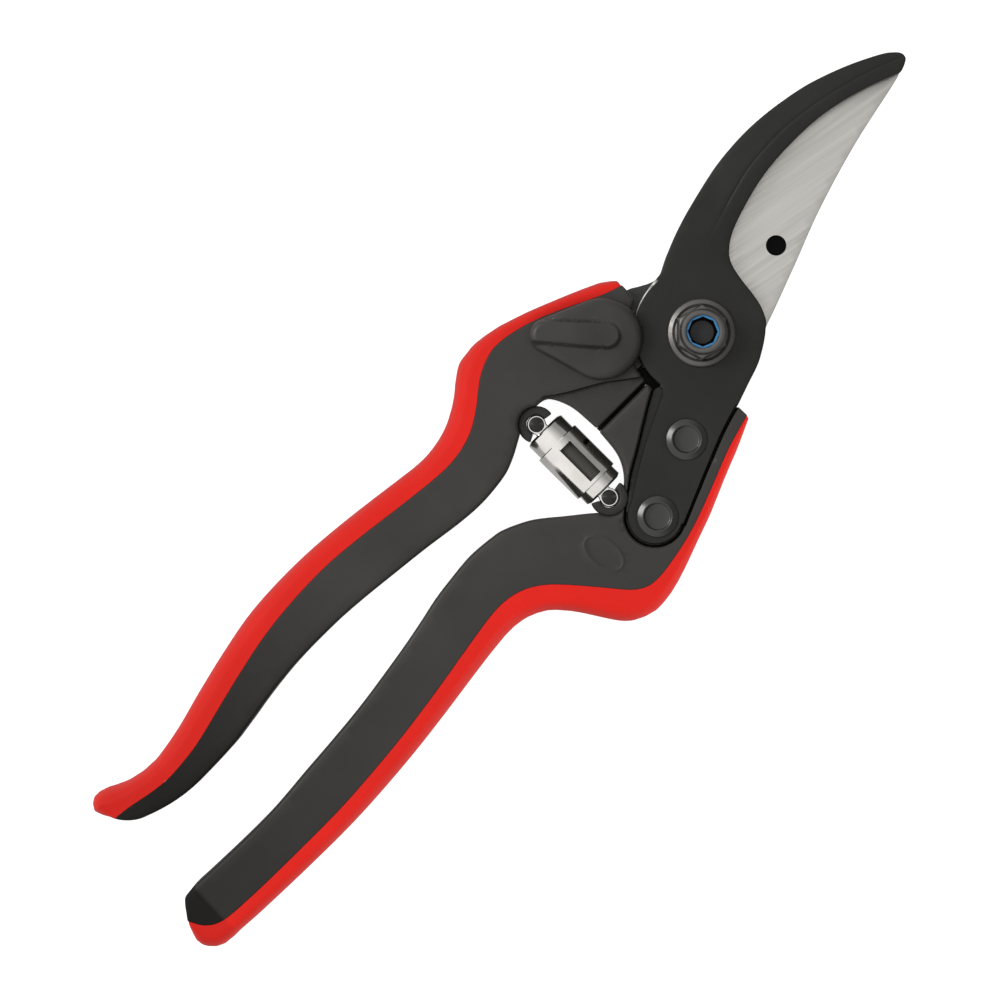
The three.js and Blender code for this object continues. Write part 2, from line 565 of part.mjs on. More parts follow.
function thumbCatch() {
  const rim = dropLoop(CATCH_PIVOT, CATCH_RADIUS, CATCH_TIP, CATCH_TIP_RADIUS);
  const inner = CATCH_RADIUS - CATCH_RIM_ROUND;
  const innerTip = CATCH_TIP_RADIUS - CATCH_RIM_ROUND;
  const crown = dropLoop(CATCH_PIVOT, inner, CATCH_TIP, innerTip);
  const rib = dropLoop(RIB_START, RIB_START_RADIUS, RIB_END, RIB_END_RADIUS);
  const crest = dropLoop(RIB_START, RIB_START_RADIUS - RIB_DRAFT, RIB_END, RIB_END_RADIUS - RIB_DRAFT);
  return plate(rim, CATCH_BOTTOM, CATCH_RIM - CATCH_RIM_ROUND)
    .add(plate(crown, CATCH_BOTTOM + 0.5, CATCH_RIM))
    .add(plate(rib, CATCH_BOTTOM + 1, CATCH_RIB_TOP - 0.7))
    .add(plate(crest, CATCH_BOTTOM + 1, CATCH_RIB_TOP))
    .subtract(disc(CATCH_PIVOT, CATCH_PIN_RADIUS + GAP, 0, CATCH_BOTTOM + 1.2, PIN_STEPS));
}

function catchPawl() {
  const reach = Math.hypot(...CATCH_PIVOT) - PAWL_REACH;
  const corner = reach - 0.6;
  const nose = [[0, -1.6], [corner, -1.3], [reach, -0.7], [reach, 0.7], [corner, 1.3], [0, 1.6]];
  const placed = plate(nose, PAWL_BOTTOM, PAWL_TOP)
    .rotate([0, 0, CATCH_ANGLE])
    .translate([CATCH_PIVOT[0], CATCH_PIVOT[1], 0]);
  const hub = disc(CATCH_PIVOT, PAWL_HUB, PAWL_BOTTOM, PAWL_TOP, RIVET_STEPS);
  return hub.add(placed).subtract(disc(CATCH_PIVOT, CATCH_PIN_RADIUS + GAP, BELOW_ALL, ABOVE_ALL, PIN_STEPS));
}

const catchPin = () => disc(CATCH_PIVOT, CATCH_PIN_RADIUS, 0.5, CATCH_BOTTOM + 0.9, PIN_STEPS);

function catchWasher() {
  const profile = tubeProfile(CATCH_PIN_RADIUS + GAP, 4.2, PAWL_TOP + 0.4, CATCH_BOTTOM - 0.7);
  return turned(profile, CATCH_PIVOT, RIVET_STEPS);
}

// ---- Spring cartridge ----
// A turned solid about the cartridge's own axis, which runs along Y.
function cartridgeTurned(profile, steps = CIRCLE_STEPS) {
  return turned(profile, [0, 0], steps).rotate([-90, 0, 0]).translate([SPRING_X, 0, 0]);
}

function springSeat(side) {
  const centre = [SPRING_X, side * KNUCKLE_Y];
  const [low, high] = [-KNUCKLE_HALF - 0.4, KNUCKLE_HALF];
  const start = side > 0 ? -SEAT_LIP : 180 - SEAT_LIP;
  const end = start + 180 + 2 * SEAT_LIP;
  const ring = [...arc(centre, SEAT_OUTER, start, end, 20), ...arc(centre, SEAT_INNER, end, start, 20)];
  const behind = plate(crossBar(5, side * (KNUCKLE_Y - SEAT_CHEEK_SIDE), side * 20), BELOW_ALL, ABOVE_ALL);
  const cheek = disc(centre, SEAT_OUTER, low - 1, low, RIVET_STEPS).intersect(behind);
  const pinBore = disc(centre, SEAT_PIN_RADIUS + 0.1, BELOW_ALL, ABOVE_ALL, 16);
  return plate(ring, low, high).add(cheek).add(seatTenon(side, 0)).subtract(pinBore);
}

const seatPin = (side) =>
  disc([SPRING_X, side * KNUCKLE_Y], SEAT_PIN_RADIUS, -KNUCKLE_HALF - 1.2, KNUCKLE_HALF - 0.1, 16);

// The knuckle turns on the seat pin and a short neck joins it to the end of its cup.
function springFoot(side) {
  const centre = [SPRING_X, side * KNUCKLE_Y];
  const barrel = disc(centre, KNUCKLE_RADIUS, -KNUCKLE_HALF, KNUCKLE_HALF, RIVET_STEPS);
  const loop = crossBar(NECK_HALF, side * (CUP_END + 0.05), side * KNUCKLE_Y);
  const neck = plate(loop, -KNUCKLE_HALF + 0.3, KNUCKLE_HALF - 0.3);
  return barrel.add(neck).subtract(disc(centre, KNUCKLE_BORE, BELOW_ALL, ABOVE_ALL, PIN_STEPS));
}

// The window through the sleeve and the lower cup faces the front.
const springWindow = ([width, from, to]) => plate(crossBar(width / 2, from, to), WINDOW_DEPTH, ABOVE_ALL);

function lowerCup() {
  const profile = [
    [0, -CUP_END], [CUP_RADIUS - 0.45, -CUP_END], [CUP_RADIUS, -CUP_END + 0.45], [CUP_RADIUS, CUP_MOUTH],
    [CUP_INNER, CUP_MOUTH], [CUP_INNER, -CUP_END + CUP_BASE], [0, -CUP_END + CUP_BASE],
  ];
  return cartridgeTurned(profile).subtract(springWindow(CUP_WINDOW));
}

function springSleeve() {
  const lip = PLUNGER_RADIUS + GAP;
  const profile = [
    [SLEEVE_INNER, SLEEVE_BOTTOM], [SLEEVE_RADIUS, SLEEVE_BOTTOM], [SLEEVE_RADIUS, SLEEVE_TOP - 0.2],
    [SLEEVE_RADIUS - 0.2, SLEEVE_TOP], [lip, SLEEVE_TOP], [lip, SLEEVE_TOP - 0.55],
    [SLEEVE_INNER, SLEEVE_TOP - 0.55], [SLEEVE_INNER, SLEEVE_BOTTOM],
  ];
  return cartridgeTurned(profile).subtract(springWindow(SLEEVE_WINDOW));
}

function upperCup() {
  const mouth = SLEEVE_TOP + GAP;
  const profile = [
    [0, CUP_END], [CUP_RADIUS - 0.45, CUP_END], [CUP_RADIUS, CUP_END - 0.45], [CUP_RADIUS, mouth],
    [CUP_INNER, mouth], [CUP_INNER, CUP_END - CUP_BASE], [0, CUP_END - CUP_BASE],
  ];
  return cartridgeTurned(profile);
}

const springPlunger = () =>
  cartridgeTurned(tubeProfile(PLUNGER_INNER, PLUNGER_RADIUS, -6.6, CUP_END - 1.0));

function returnSpring() {
  const end = CUP_END - COIL_INSET;
  const steps = COIL_TURNS * 14;
  const points = [];
  for (let i = 0; i <= steps; i += 1) {
    const angle = (2 * Math.PI * COIL_TURNS * i) / steps;
    const along = -end + (2 * end * i) / steps;
    points.push(new THREE.Vector3(COIL_RADIUS * Math.cos(angle), along, COIL_RADIUS * Math.sin(angle)));
  }
  const wire = new THREE.Shape(vectors(arc([0, 0], COIL_WIRE, 0, 360, 6).slice(0, -1)));
  const path = new THREE.CatmullRomCurve3(points);
  const geometry = new THREE.ExtrudeGeometry(wire, { steps, extrudePath: path, bevelEnabled: false });
  return solid(geometry).translate([SPRING_X, 0, 0]);
}

// ---- Assembly ----
function lowerHandleGroup() {
  const group = new THREE.Group();
  group.add(piece("lower_handle_core", lowerHandleCore(), corePlastic()));
  group.add(piece("lower_handle_grip", gripBody(LOWER_STATIONS, HEAD_HALF), gripRubber()));
  group.add(piece("counter_blade", counterBlade(), blackSteel()));
  group.add(piece("counter_blade_rivet_front", counterRivet(COUNTER_RIVETS[0]), blackSteel()));
  group.add(piece("counter_blade_rivet_rear", counterRivet(COUNTER_RIVETS[1]), blackSteel()));
  group.add(piece("lower_spring_seat", springSeat(-1), blackPlastic()));
  group.add(piece("lower_seat_pin", seatPin(-1), blackSteel()));
  return group;
}

function pivotGroup() {
  const group = new THREE.Group();
  group.add(piece("pivot_bolt", pivotBolt(), blackSteel()));
  group.add(piece("pivot_bush", pivotBush(), bronze()));
  group.add(piece("pivot_washer", pivotWasher(), satinSteel()));
  group.add(piece("pivot_nut", pivotNut(), blackSteel()));
  group.add(piece("pivot_nut_insert", nutInsert(), blueNylon()));
  return group;
}

function upperHandleGroup() {
  const group = new THREE.Group();
  group.add(piece("upper_handle_core", upperHandleCore(), corePlastic()));
  group.add(piece("upper_handle_grip", gripBody(UPPER_STATIONS, CATCH_DECK), gripRubber()));
  group.add(piece("cutting_blade", cuttingBlade(), satinSteel()));
  group.add(piece("cutting_blade_rivet_front", cutterRivet(CUTTER_RIVETS[0]), blackSteel()));
  group.add(piece("cutting_blade_rivet_rear", cutterRivet(CUTTER_RIVETS[1]), blackSteel()));
  group.add(piece("upper_spring_seat", springSeat(1), blackPlastic()));
  group.add(piece("upper_seat_pin", seatPin(1), blackSteel()));
  group.add(piece("catch_spring_washer", catchWasher(), springWire()));
  return group;
}

function catchGroup() {
  const group = new THREE.Group();
  group.add(piece("thumb_catch", thumbCatch(), catchPlastic()));
  group.add(piece("catch_pawl", catchPawl(), satinSteel()));
  group.add(piece("catch_pin", catchPin(), satinSteel()));
  return group;
}

function cartridgeGroup() {
  const group = new THREE.Group();
  group.add(piece("spring_foot_lower", springFoot(-1), nickel()));
  group.add(piece("spring_cup_lower", lowerCup(), nickel()));
  group.add(piece("spring_sleeve", springSleeve(), nickel()));
  group.add(piece("spring_cup_upper", upperCup(), nickel()));
  group.add(piece("spring_plunger", springPlunger(), blackPlastic()));
  group.add(piece("spring_foot_upper", springFoot(1), nickel()));
  group.add(piece("return_spring", returnSpring(), springWire()));
  return group;
}

const pruner = new THREE.Group();
pruner.add(lowerHandleGroup(), pivotGroup(), upperHandleGroup(), catchGroup(), cartridgeGroup());
pruner.position.z = -BOLT_BACK;
export default pruner;
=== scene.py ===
"""Looks of the one-hand bypass pruner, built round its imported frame.

Lengths in this script are millimetres along the part's own axes: +X to the blade tip along the closed
handles, +Y to the upper handle, +Z out of the front face. X and Y are measured from the blade pivot and
heights from the plane between the blades, which lies LIFT above the frame's origin. Meshes are lifted and
scaled to metres as they are made. The large outlines come from sections of the CAD nodes. The cartridge's
tubes, the catch and the cutting blade's dimple stand up to 0.6 mm from their nodes, as the photograph has them."""

import math

import bpy
import numpy as np
from mathutils import Matrix, Vector
from mathutils.geometry import delaunay_2d_cdt


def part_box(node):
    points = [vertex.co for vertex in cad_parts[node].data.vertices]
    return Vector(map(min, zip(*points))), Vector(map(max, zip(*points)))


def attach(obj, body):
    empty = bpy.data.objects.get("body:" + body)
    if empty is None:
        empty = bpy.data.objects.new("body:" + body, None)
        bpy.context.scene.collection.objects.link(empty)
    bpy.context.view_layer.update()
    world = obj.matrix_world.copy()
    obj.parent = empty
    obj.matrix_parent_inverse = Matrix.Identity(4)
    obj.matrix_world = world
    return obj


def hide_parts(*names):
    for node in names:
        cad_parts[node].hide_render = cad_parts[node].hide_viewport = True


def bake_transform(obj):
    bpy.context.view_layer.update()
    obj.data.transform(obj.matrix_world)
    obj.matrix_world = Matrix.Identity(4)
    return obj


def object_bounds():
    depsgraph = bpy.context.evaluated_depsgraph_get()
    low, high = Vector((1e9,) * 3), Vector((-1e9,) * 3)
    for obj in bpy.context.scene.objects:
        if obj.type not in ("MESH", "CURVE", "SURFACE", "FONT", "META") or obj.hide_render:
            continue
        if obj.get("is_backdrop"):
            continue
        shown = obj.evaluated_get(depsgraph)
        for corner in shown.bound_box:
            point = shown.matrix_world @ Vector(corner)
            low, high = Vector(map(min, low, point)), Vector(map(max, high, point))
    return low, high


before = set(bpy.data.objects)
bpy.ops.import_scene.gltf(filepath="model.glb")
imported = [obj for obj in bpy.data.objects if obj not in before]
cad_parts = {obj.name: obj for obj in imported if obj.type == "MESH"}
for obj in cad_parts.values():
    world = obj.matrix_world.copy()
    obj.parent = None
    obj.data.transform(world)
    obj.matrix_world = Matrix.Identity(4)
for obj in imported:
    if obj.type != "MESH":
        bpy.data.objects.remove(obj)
cad_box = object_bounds()

MM = 0.001
LIFT = 7.55  # from the face the tool rests on to the plane between the blades

# ---- Levels and places the pieces share ----
HEAD_HALF = 4.9  # half thickness of the handles beside the pivot
GRIP_HALF = 7.2  # in the palm
END_HALF = 6.0
PALM_START, PALM_FULL, PALM_END, HANDLE_END = -44.0, -96.0, -112.0, -157.0
DECK = 5.6  # front of the upper handle under the catch
STOP_PAD = 4.4
COUNTER_BOTTOM, COUNTER_TOP = 0.15, 4.6
CUTTER_BOTTOM, CUTTER_TOP = -3.7, -0.1
CATCH_PIVOT = (-14.6, 13.6)
CATCH_DISC = (-15.0, 13.2)  # the round end of the catch is not quite centred on its pin
CATCH_TIP = (-22.3, 21.4)
SAP_HOLE, SAP_RADIUS = (23.4, 1.75), 2.06  # the blind dimple in the cutting blade
SPRING_X = -36.2
TUBE_X = -35.8  # the cartridge's tubes stand a little to one side of its knuckles
TAIL_END = (-32.4, -19.4)
# The crease across each handle where its end facet starts: a point on it and its run in X for each mm of Y.
END_CREASE = {"lower": ((-149.7, -8.0), 0.04), "upper": ((-146.2, 10.0), -0.25)}
END_SLOPE = {"lower": 0.12, "upper": 0.05}


# ---- Reading the frame ----
def node_triangles(node):
    """The triangles of a CAD node, as an array of corners in millimetres."""
    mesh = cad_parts[node].data
    mesh.calc_loop_triangles()
    points = np.array([v.co for v in mesh.vertices]) / MM - np.array([0, 0, LIFT])
    return points[np.array([t.vertices for t in mesh.loop_triangles])]


def section(node, z):
    """Closed loops where a CAD node crosses a level, the largest first, with material on their left."""
    links = {}
    for corners in node_triangles(node):
        height = corners[:, 2] - z
        if height.max() <= 0 or height.min() >= 0:
            continue
        cut = []
        for i in range(3):
            a, b = corners[i], corners[(i + 1) % 3]
            if (a[2] - z) * (b[2] - z) < 0:
                cut.append(a + (b - a) * (z - a[2]) / (b[2] - a[2]))
        if len(cut) != 2:
            continue
        normal = np.cross(corners[1] - corners[0], corners[2] - corners[0])
        first, second = cut[0][:2], cut[1][:2]
        if np.dot(second - first, (-normal[1], normal[0])) < 0:
            first, second = second, first
        if np.hypot(*(second - first)) > 1e-4:
            links[tuple(np.round(first, 3))] = tuple(np.round(second, 3))
    loops = []
    while links:
        start = next(iter(links))
        loop, here = [start], links.pop(start)
        while here != start and here in links:
            loop.append(here)
            here = links.pop(here)
        if len(loop) > 2:
            loops.append(np.array(loop))
    return sorted(loops, key=lambda l: -abs(area_of(l)))


def area_of(loop):
    x, y = loop[:, 0], loop[:, 1]
    return 0.5 * float(np.sum(x * np.roll(y, -1) - np.roll(x, -1) * y))


# ---- Outlines ----
def turns(loop):
    """The turn in degrees at each point of a closed loop."""
    before = loop - np.roll(loop, 1, 0)
    after = np.roll(loop, -1, 0) - loop
    cross = before[:, 0] * after[:, 1] - before[:, 1] * after[:, 0]
    return np.degrees(np.arctan2(cross, (before * after).sum(1)))


def cleaned(loop):
    """The loop without repeated points or points that lie on a straight run."""
    loop = loop[np.hypot(*(loop - np.roll(loop, 1, 0)).T) > 0.02]
    return loop[np.abs(turns(loop)) > 0.2]


def hermite(points, spacing):
    """Points along a smooth open curve through the given points."""
    gaps = np.hypot(*np.diff(points, axis=0).T)
    slopes = np.diff(points, axis=0) / gaps[:, None]
    tangents = np.empty_like(points)
    before, after = gaps[:-1, None], gaps[1:, None]
    tangents[1:-1] = (slopes[:-1] * after + slopes[1:] * before) / (after + before)
    tangents[0] = 1.5 * slopes[0] - 0.5 * tangents[1] if len(points) > 2 else slopes[0]
    tangents[-1] = 1.5 * slopes[-1] - 0.5 * tangents[-2] if len(points) > 2 else slopes[-1]
    out = []
    for i, gap in enumerate(gaps):
        steps = max(1, int(math.ceil(gap / spacing)))
        t = (np.arange(steps) / steps)[:, None]
        a, b = points[i], points[i + 1]
        out.append((2 * t**3 - 3 * t**2 + 1) * a + (t**3 - 2 * t**2 + t) * gap * tangents[i]
                   + (3 * t**2 - 2 * t**3) * b + (t**3 - t**2) * gap * tangents[i + 1])
    out.append(points[-1:])
    return np.concatenate(out)


def passes(curve, point):
    """The indices at which a curve passes through one of its own points."""
    return np.nonzero(np.isclose(curve, point, atol=1e-6).all(1))[0]


def closed_hermite(loop, spacing):
    """Points along a smooth closed curve through the given points."""
    around = hermite(np.concatenate([loop[-3:], loop, loop[:3]]), spacing)
    seam = hermite(np.concatenate([loop[-3:], loop[:3]]), spacing)
    return np.concatenate([around[passes(around, loop[0])[0]:passes(around, loop[-1])[-1]],
                           seam[passes(seam, loop[-1])[0]:passes(seam, loop[0])[0]]])


def smoothed(loop, spacing=0.5, corner=36.0, fillet=0.5):
    """A closed loop resampled along smooth stretches, its sharp corners turned into small round ones.

    fillet is the length cut from both sides of a corner, or a function of the corner's place."""
    cut_at = fillet if callable(fillet) else lambda point: fillet
    loop = cleaned(loop)
    corners = np.nonzero(np.abs(turns(loop)) > corner)[0]
    if len(corners) == 0:
        return closed_hermite(loop, spacing)
    loop = np.roll(loop, -corners[0], 0)
    corners = corners - corners[0]
    stretches = []
    for i, begin in enumerate(corners):
        end = corners[i + 1] if i + 1 < len(corners) else len(loop)
        stretch = np.concatenate([loop[begin:end], loop[end % len(loop)][None]])
        stretches.append(hermite(stretch, spacing))
    out = []
    for stretch, following in zip(stretches, stretches[1:] + stretches[:1]):
        body = trimmed(trimmed(stretch, cut_at(stretch[0]))[::-1], cut_at(stretch[-1]))[::-1]
        ahead = trimmed(following, cut_at(following[0]))
        point = stretch[-1]
        t = np.linspace(0, 1, 7)[1:-1, None]
        bend = (1 - t) ** 2 * body[-1] + 2 * t * (1 - t) * point + t**2 * ahead[0]
        out += [body, bend]
    return np.concatenate(out)


def trimmed(stretch, length):
    """An open stretch with up to the given length cut from its start, and never more than 0.4 of it."""
    gaps = np.hypot(*np.diff(stretch, axis=0).T)
    along = np.concatenate([[0], np.cumsum(gaps)])
    cut = min(length, 0.4 * along[-1])
    keep = stretch[along > cut + 1e-6]
    start = [np.interp(cut, along, stretch[:, k]) for k in (0, 1)]
    return np.concatenate([[start], keep])


def offset(loop, distance):
    """A closed loop moved to its right, which is outwards for a loop with material on its left."""
    along = np.roll(loop, -1, 0) - np.roll(loop, 1, 0)
    along /= np.hypot(*along.T)[:, None]
    return loop + distance * np.stack([along[:, 1], -along[:, 0]], 1)


def arc(centre, radius, start, end, steps=None):
    steps = steps or max(4, int(abs(end - start) / 7.5))
    a = np.radians(np.linspace(start, end, steps + 1))
    return np.stack([centre[0] + radius * np.cos(a), centre[1] + radius * np.sin(a)], 1)


def circle(centre, radius, steps=56):
    return arc(centre, radius, 0, 360, steps)[:-1]


def drop(big, big_radius, small, small_radius):
    """The outline of two circles and their common tangents."""
    reach = math.dist(big, small)
    along = math.degrees(math.atan2(small[1] - big[1], small[0] - big[0]))
    lean = math.degrees(math.acos((big_radius - small_radius) / reach))
    around = arc(big, big_radius, along + lean, along + 360 - lean, 72)
    nose = arc(small, small_radius, along - lean, along + lean, 32)
    between = np.linspace(0, 1, 24)[1:-1, None]
    return np.concatenate([around, around[-1] + between * (nose[0] - around[-1]), nose,
                           nose[-1] + between * (around[0] - nose[-1])])


def edge_distance(points, line, closed=True):
    """Distance from each point to a polyline."""
    a = line if closed else line[:-1]
    ab = (np.roll(line, -1, 0) if closed else line[1:]) - a
    length = np.maximum((ab**2).sum(1), 1e-12)
    out = np.empty(len(points))
    for i in range(0, len(points), 2000):
        p = points[i:i + 2000, None, :]
        t = np.clip(((p - a) * ab).sum(2) / length, 0, 1)
        out[i:i + 2000] = np.sqrt(((p - a - t[..., None] * ab) ** 2).sum(2)).min(1)
    return out


def nearest_on(points, loop):
    """The point of a closed loop nearest to each point."""
    run = np.roll(loop, -1, 0) - loop
    length = np.maximum((run**2).sum(1), 1e-12)
    out = []
    for point in points:
        t = np.clip(((point - loop) * run).sum(1) / length, 0, 1)
        feet = loop + t[:, None] * run
        out.append(feet[np.argmin(((point - feet) ** 2).sum(1))])
    return np.array(out)


def inside(points, loop):
    a, b = loop, np.roll(loop, -1, 0)
    out = np.empty(len(points), bool)
    rise = np.where(np.abs(b[:, 1] - a[:, 1]) < 1e-12, 1e-12, b[:, 1] - a[:, 1])
    for i in range(0, len(points), 4000):
        x, y = points[i:i + 4000, 0, None], points[i:i + 4000, 1, None]
        crosses = (a[:, 1] > y) != (b[:, 1] > y)
        crosses &= x < (b[:, 0] - a[:, 0]) * (y - a[:, 1]) / rise + a[:, 0]
        out[i:i + 4000] = crosses.sum(1) % 2 == 1
    return out


def signed_distance(points, loop):
    """Positive outside a closed loop, negative inside."""
    return np.where(inside(points, loop), -1, 1) * edge_distance(points, loop)


# ---- Meshes ----
def new_object(name, vertices, faces, material, sharp=38.0):
    mesh = bpy.data.meshes.new(name)
    lifted = (np.asarray(vertices, float) + np.array([0, 0, LIFT])) * MM
    mesh.from_pydata([tuple(v) for v in lifted], [], faces)
    mesh.validate()
    mesh.polygons.foreach_set("use_smooth", [True] * len(mesh.polygons))
    mesh.set_sharp_from_angle(angle=math.radians(sharp))
    mesh.materials.append(material)
    obj = bpy.data.objects.new(name, mesh)
    bpy.context.scene.collection.objects.link(obj)
    return obj


def within(points, loops):
    """Whether each point lies inside the first loop and outside all the others."""
    keep = inside(points, loops[0])
    for hole in loops[1:]:
        keep &= ~inside(points, hole)
    return keep


def loop_gap(points, loops):
    """Distance from each point to the nearest loop."""
    return np.min([edge_distance(points, loop) for loop in loops], 0)


def fixed_points(loops, lines):
    """The points of all loops and lines, and the edges that join them."""
    points, edges = [], []
    for line, closed in [(loop, True) for loop in loops] + list(lines):
        base, count = len(points), len(line)
        points += [tuple(p) for p in line]
        edges += [(base + i, base + (i + 1) % count) for i in range(count if closed else count - 1)]
    return points, edges


def free_points(loops, lines, rings, grid, extra):
    """Points that follow the loops at the rings' distances and fill the rest on a triangular grid."""
    free = []
    for loop in loops:
        for ring in rings:
            near = offset(loop, -ring)
            near = near[within(near, loops)]
            if len(near):
                free.append(near[np.abs(loop_gap(near, loops) - ring) < 0.25 * ring + 0.01])
    low, high = loops[0].min(0), loops[0].max(0)
    row_gap = grid * 0.866
    rows = np.arange(low[1], high[1], row_gap)
    cells_x, cells_y = np.meshgrid(np.arange(low[0], high[0], grid), rows)
    cells_x = cells_x + (np.arange(len(rows)) % 2)[:, None] * grid / 2
    cells = np.stack([cells_x.ravel(), cells_y.ravel()], 1)
    cells = cells[within(cells, loops)]
    free.append(cells[loop_gap(cells, loops) > max(rings) + 0.35 * grid])
    free = np.concatenate(free + [line[within(line, loops)] for line in extra])
    for line, closed in lines:
        free = free[edge_distance(free, line, closed) > 0.12]
    return free


def flat_mesh(loops, lines, rings, grid, extra):
    """Points, and triangles that face up, over the area inside the first loop and outside the others."""
    points, edges = fixed_points(loops, lines)
    points = [Vector(p) for p in points] + [Vector(p) for p in free_points(loops, lines, rings, grid, extra)]
    flat, _, faces, *_ = delaunay_2d_cdt(points, edges, [], 0, 1e-5)
    flat, faces = np.array([tuple(p) for p in flat]), np.array(faces)
    faces = faces[within(flat[faces].mean(1), loops)]
    a, b, c = (flat[faces[:, i]] for i in range(3))
    winding = (b[:, 0] - a[:, 0]) * (c[:, 1] - a[:, 1]) - (b[:, 1] - a[:, 1]) * (c[:, 0] - a[:, 0])
    faces[winding < 0] = faces[winding < 0][:, ::-1]
    used, faces = np.unique(faces, return_inverse=True)
    return flat[used], faces.reshape(-1, 3)


def relief(name, outline, top, bottom, material, holes=(), lines=(), rings=(0.06, 0.22, 0.46, 0.8), grid=1.7,
           sharp=38.0, extra=()):
    """A closed body whose front and back are height fields over one outline.

    top and bottom take points and their distance to the nearest edge and give heights. Lines are polylines,
    each with True if closed, that the faces follow, such as a crease or the foot of a step. Where front and
    back meet, they share their points."""
    loops = [outline, *holes]
    flat, faces = flat_mesh(loops, lines, rings, grid, extra)
    gap = loop_gap(flat, loops)
    gap[gap < 1e-4] = 0
    count = len(flat)
    front, back = top(flat, gap), bottom(flat, gap)
    met = front - back < 0.01
    front[met] = back[met] = 0.5 * (front + back)[met]
    under = np.where(met, np.arange(count), np.arange(count) + count)
    faces = faces[~met[faces].all(1)]
    seen = {(tri[i], tri[(i + 1) % 3]) for tri in faces.tolist() for i in range(3)}
    rim = sorted(edge for edge in seen if (edge[1], edge[0]) not in seen)
    walls = [tuple(dict.fromkeys((a, under[a], under[b], b))) for a, b in rim]
    polygons = [tuple(t) for t in faces] + [tuple(under[t[::-1]]) for t in faces]
    polygons += [wall for wall in walls if len(wall) > 2]
    vertices = np.concatenate([np.column_stack([flat, front]), np.column_stack([flat, back])])
    return new_object(name, *tidied(vertices, polygons), material, sharp)


def tidied(vertices, polygons):
    """The vertices that the polygons use, and the polygons renumbered to match."""
    used = sorted({int(v) for polygon in polygons for v in polygon})
    index = {v: i for i, v in enumerate(used)}
    return np.array(vertices)[used], [tuple(index[v] for v in polygon) for polygon in polygons]


def rounded_edge(gap, radius):
    """How far a face lies below its level near a rounded edge."""
    near = np.clip(radius - gap, 0, radius)
    return radius - np.sqrt(np.maximum(radius**2 - near**2, 0))


def step(values, low, high):
    t = np.clip((values - low) / (high - low), 0, 1)
    return t * t * (3 - 2 * t)


def ring_faces(rows):
    """Faces between rows of points that run round an axis. Points that a face has twice are dropped."""
    faces = []
    for lower, upper in zip(rows, rows[1:]):
        for i in range(len(lower)):
            j = (i + 1) % len(lower)
            faces.append(tuple(dict.fromkeys((lower[i], lower[j], upper[j], upper[i]))))
    return [face for face in faces if len(face) > 2]


def even_rows(count, width):
    return [range(row * width, (row + 1) * width) for row in range(count)]


def revolve(name, profile, material, centre=(0, 0, 0), axis="Z", segments=72, sharp=38.0, closed=False):
    """A turned body from [radius, height] pairs. A profile that isn't closed starts and ends on the axis."""
    a = np.linspace(0, 2 * np.pi, segments, endpoint=False)
    vertices, rows = [], []
    for radius, height in profile:
        if radius < 1e-6:
            rows.append([len(vertices)] * segments)
            vertices.append((0, 0, height))
        else:
            rows.append(range(len(vertices), len(vertices) + segments))
            vertices += [(radius * math.cos(t), radius * math.sin(t), height) for t in a]
    points = np.array(vertices, float)
    if axis == "Y":
        points = points[:, [1, 2, 0]]
    faces = ring_faces(rows + rows[:1] if closed else rows)
    return new_object(name, points + np.array(centre), faces, material, sharp)


def rounded_profile(points, radius=0.2, steps=4):
    """A profile with each inner corner turned into a small curve. A third value sets a point's own radius."""
    out = [tuple(points[0][:2])]
    for before, here, after in zip(points, points[1:], points[2:]):
        own = here[2] if len(here) > 2 else radius
        p, a, b = np.array(here[:2]), np.array(before[:2]), np.array(after[:2])
        da, db = np.linalg.norm(a - p), np.linalg.norm(b - p)
        cut = min(own, 0.45 * da, 0.45 * db)
        if cut < 1e-3:
            out.append(tuple(p))
            continue
        start, end = p + (a - p) / da * cut, p + (b - p) / db * cut
        for t in np.linspace(0, 1, steps + 1):
            out.append(tuple((1 - t) ** 2 * start + 2 * t * (1 - t) * p + t**2 * end))
    out.append(tuple(points[-1][:2]))
    return out


def place(obj, body, node=None):
    """Puts a piece on a body, in place of a CAD node if one is named."""
    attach(obj, body)
    if node:
        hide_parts(node)


def turned(node, body, slot, look, profile, centre=(0, 0, 0), name=None, **shape):
    """A turned piece that stands for a CAD node."""
    place(revolve(name or node + "_body", profile, materials[look], centre, **shape), body, node)


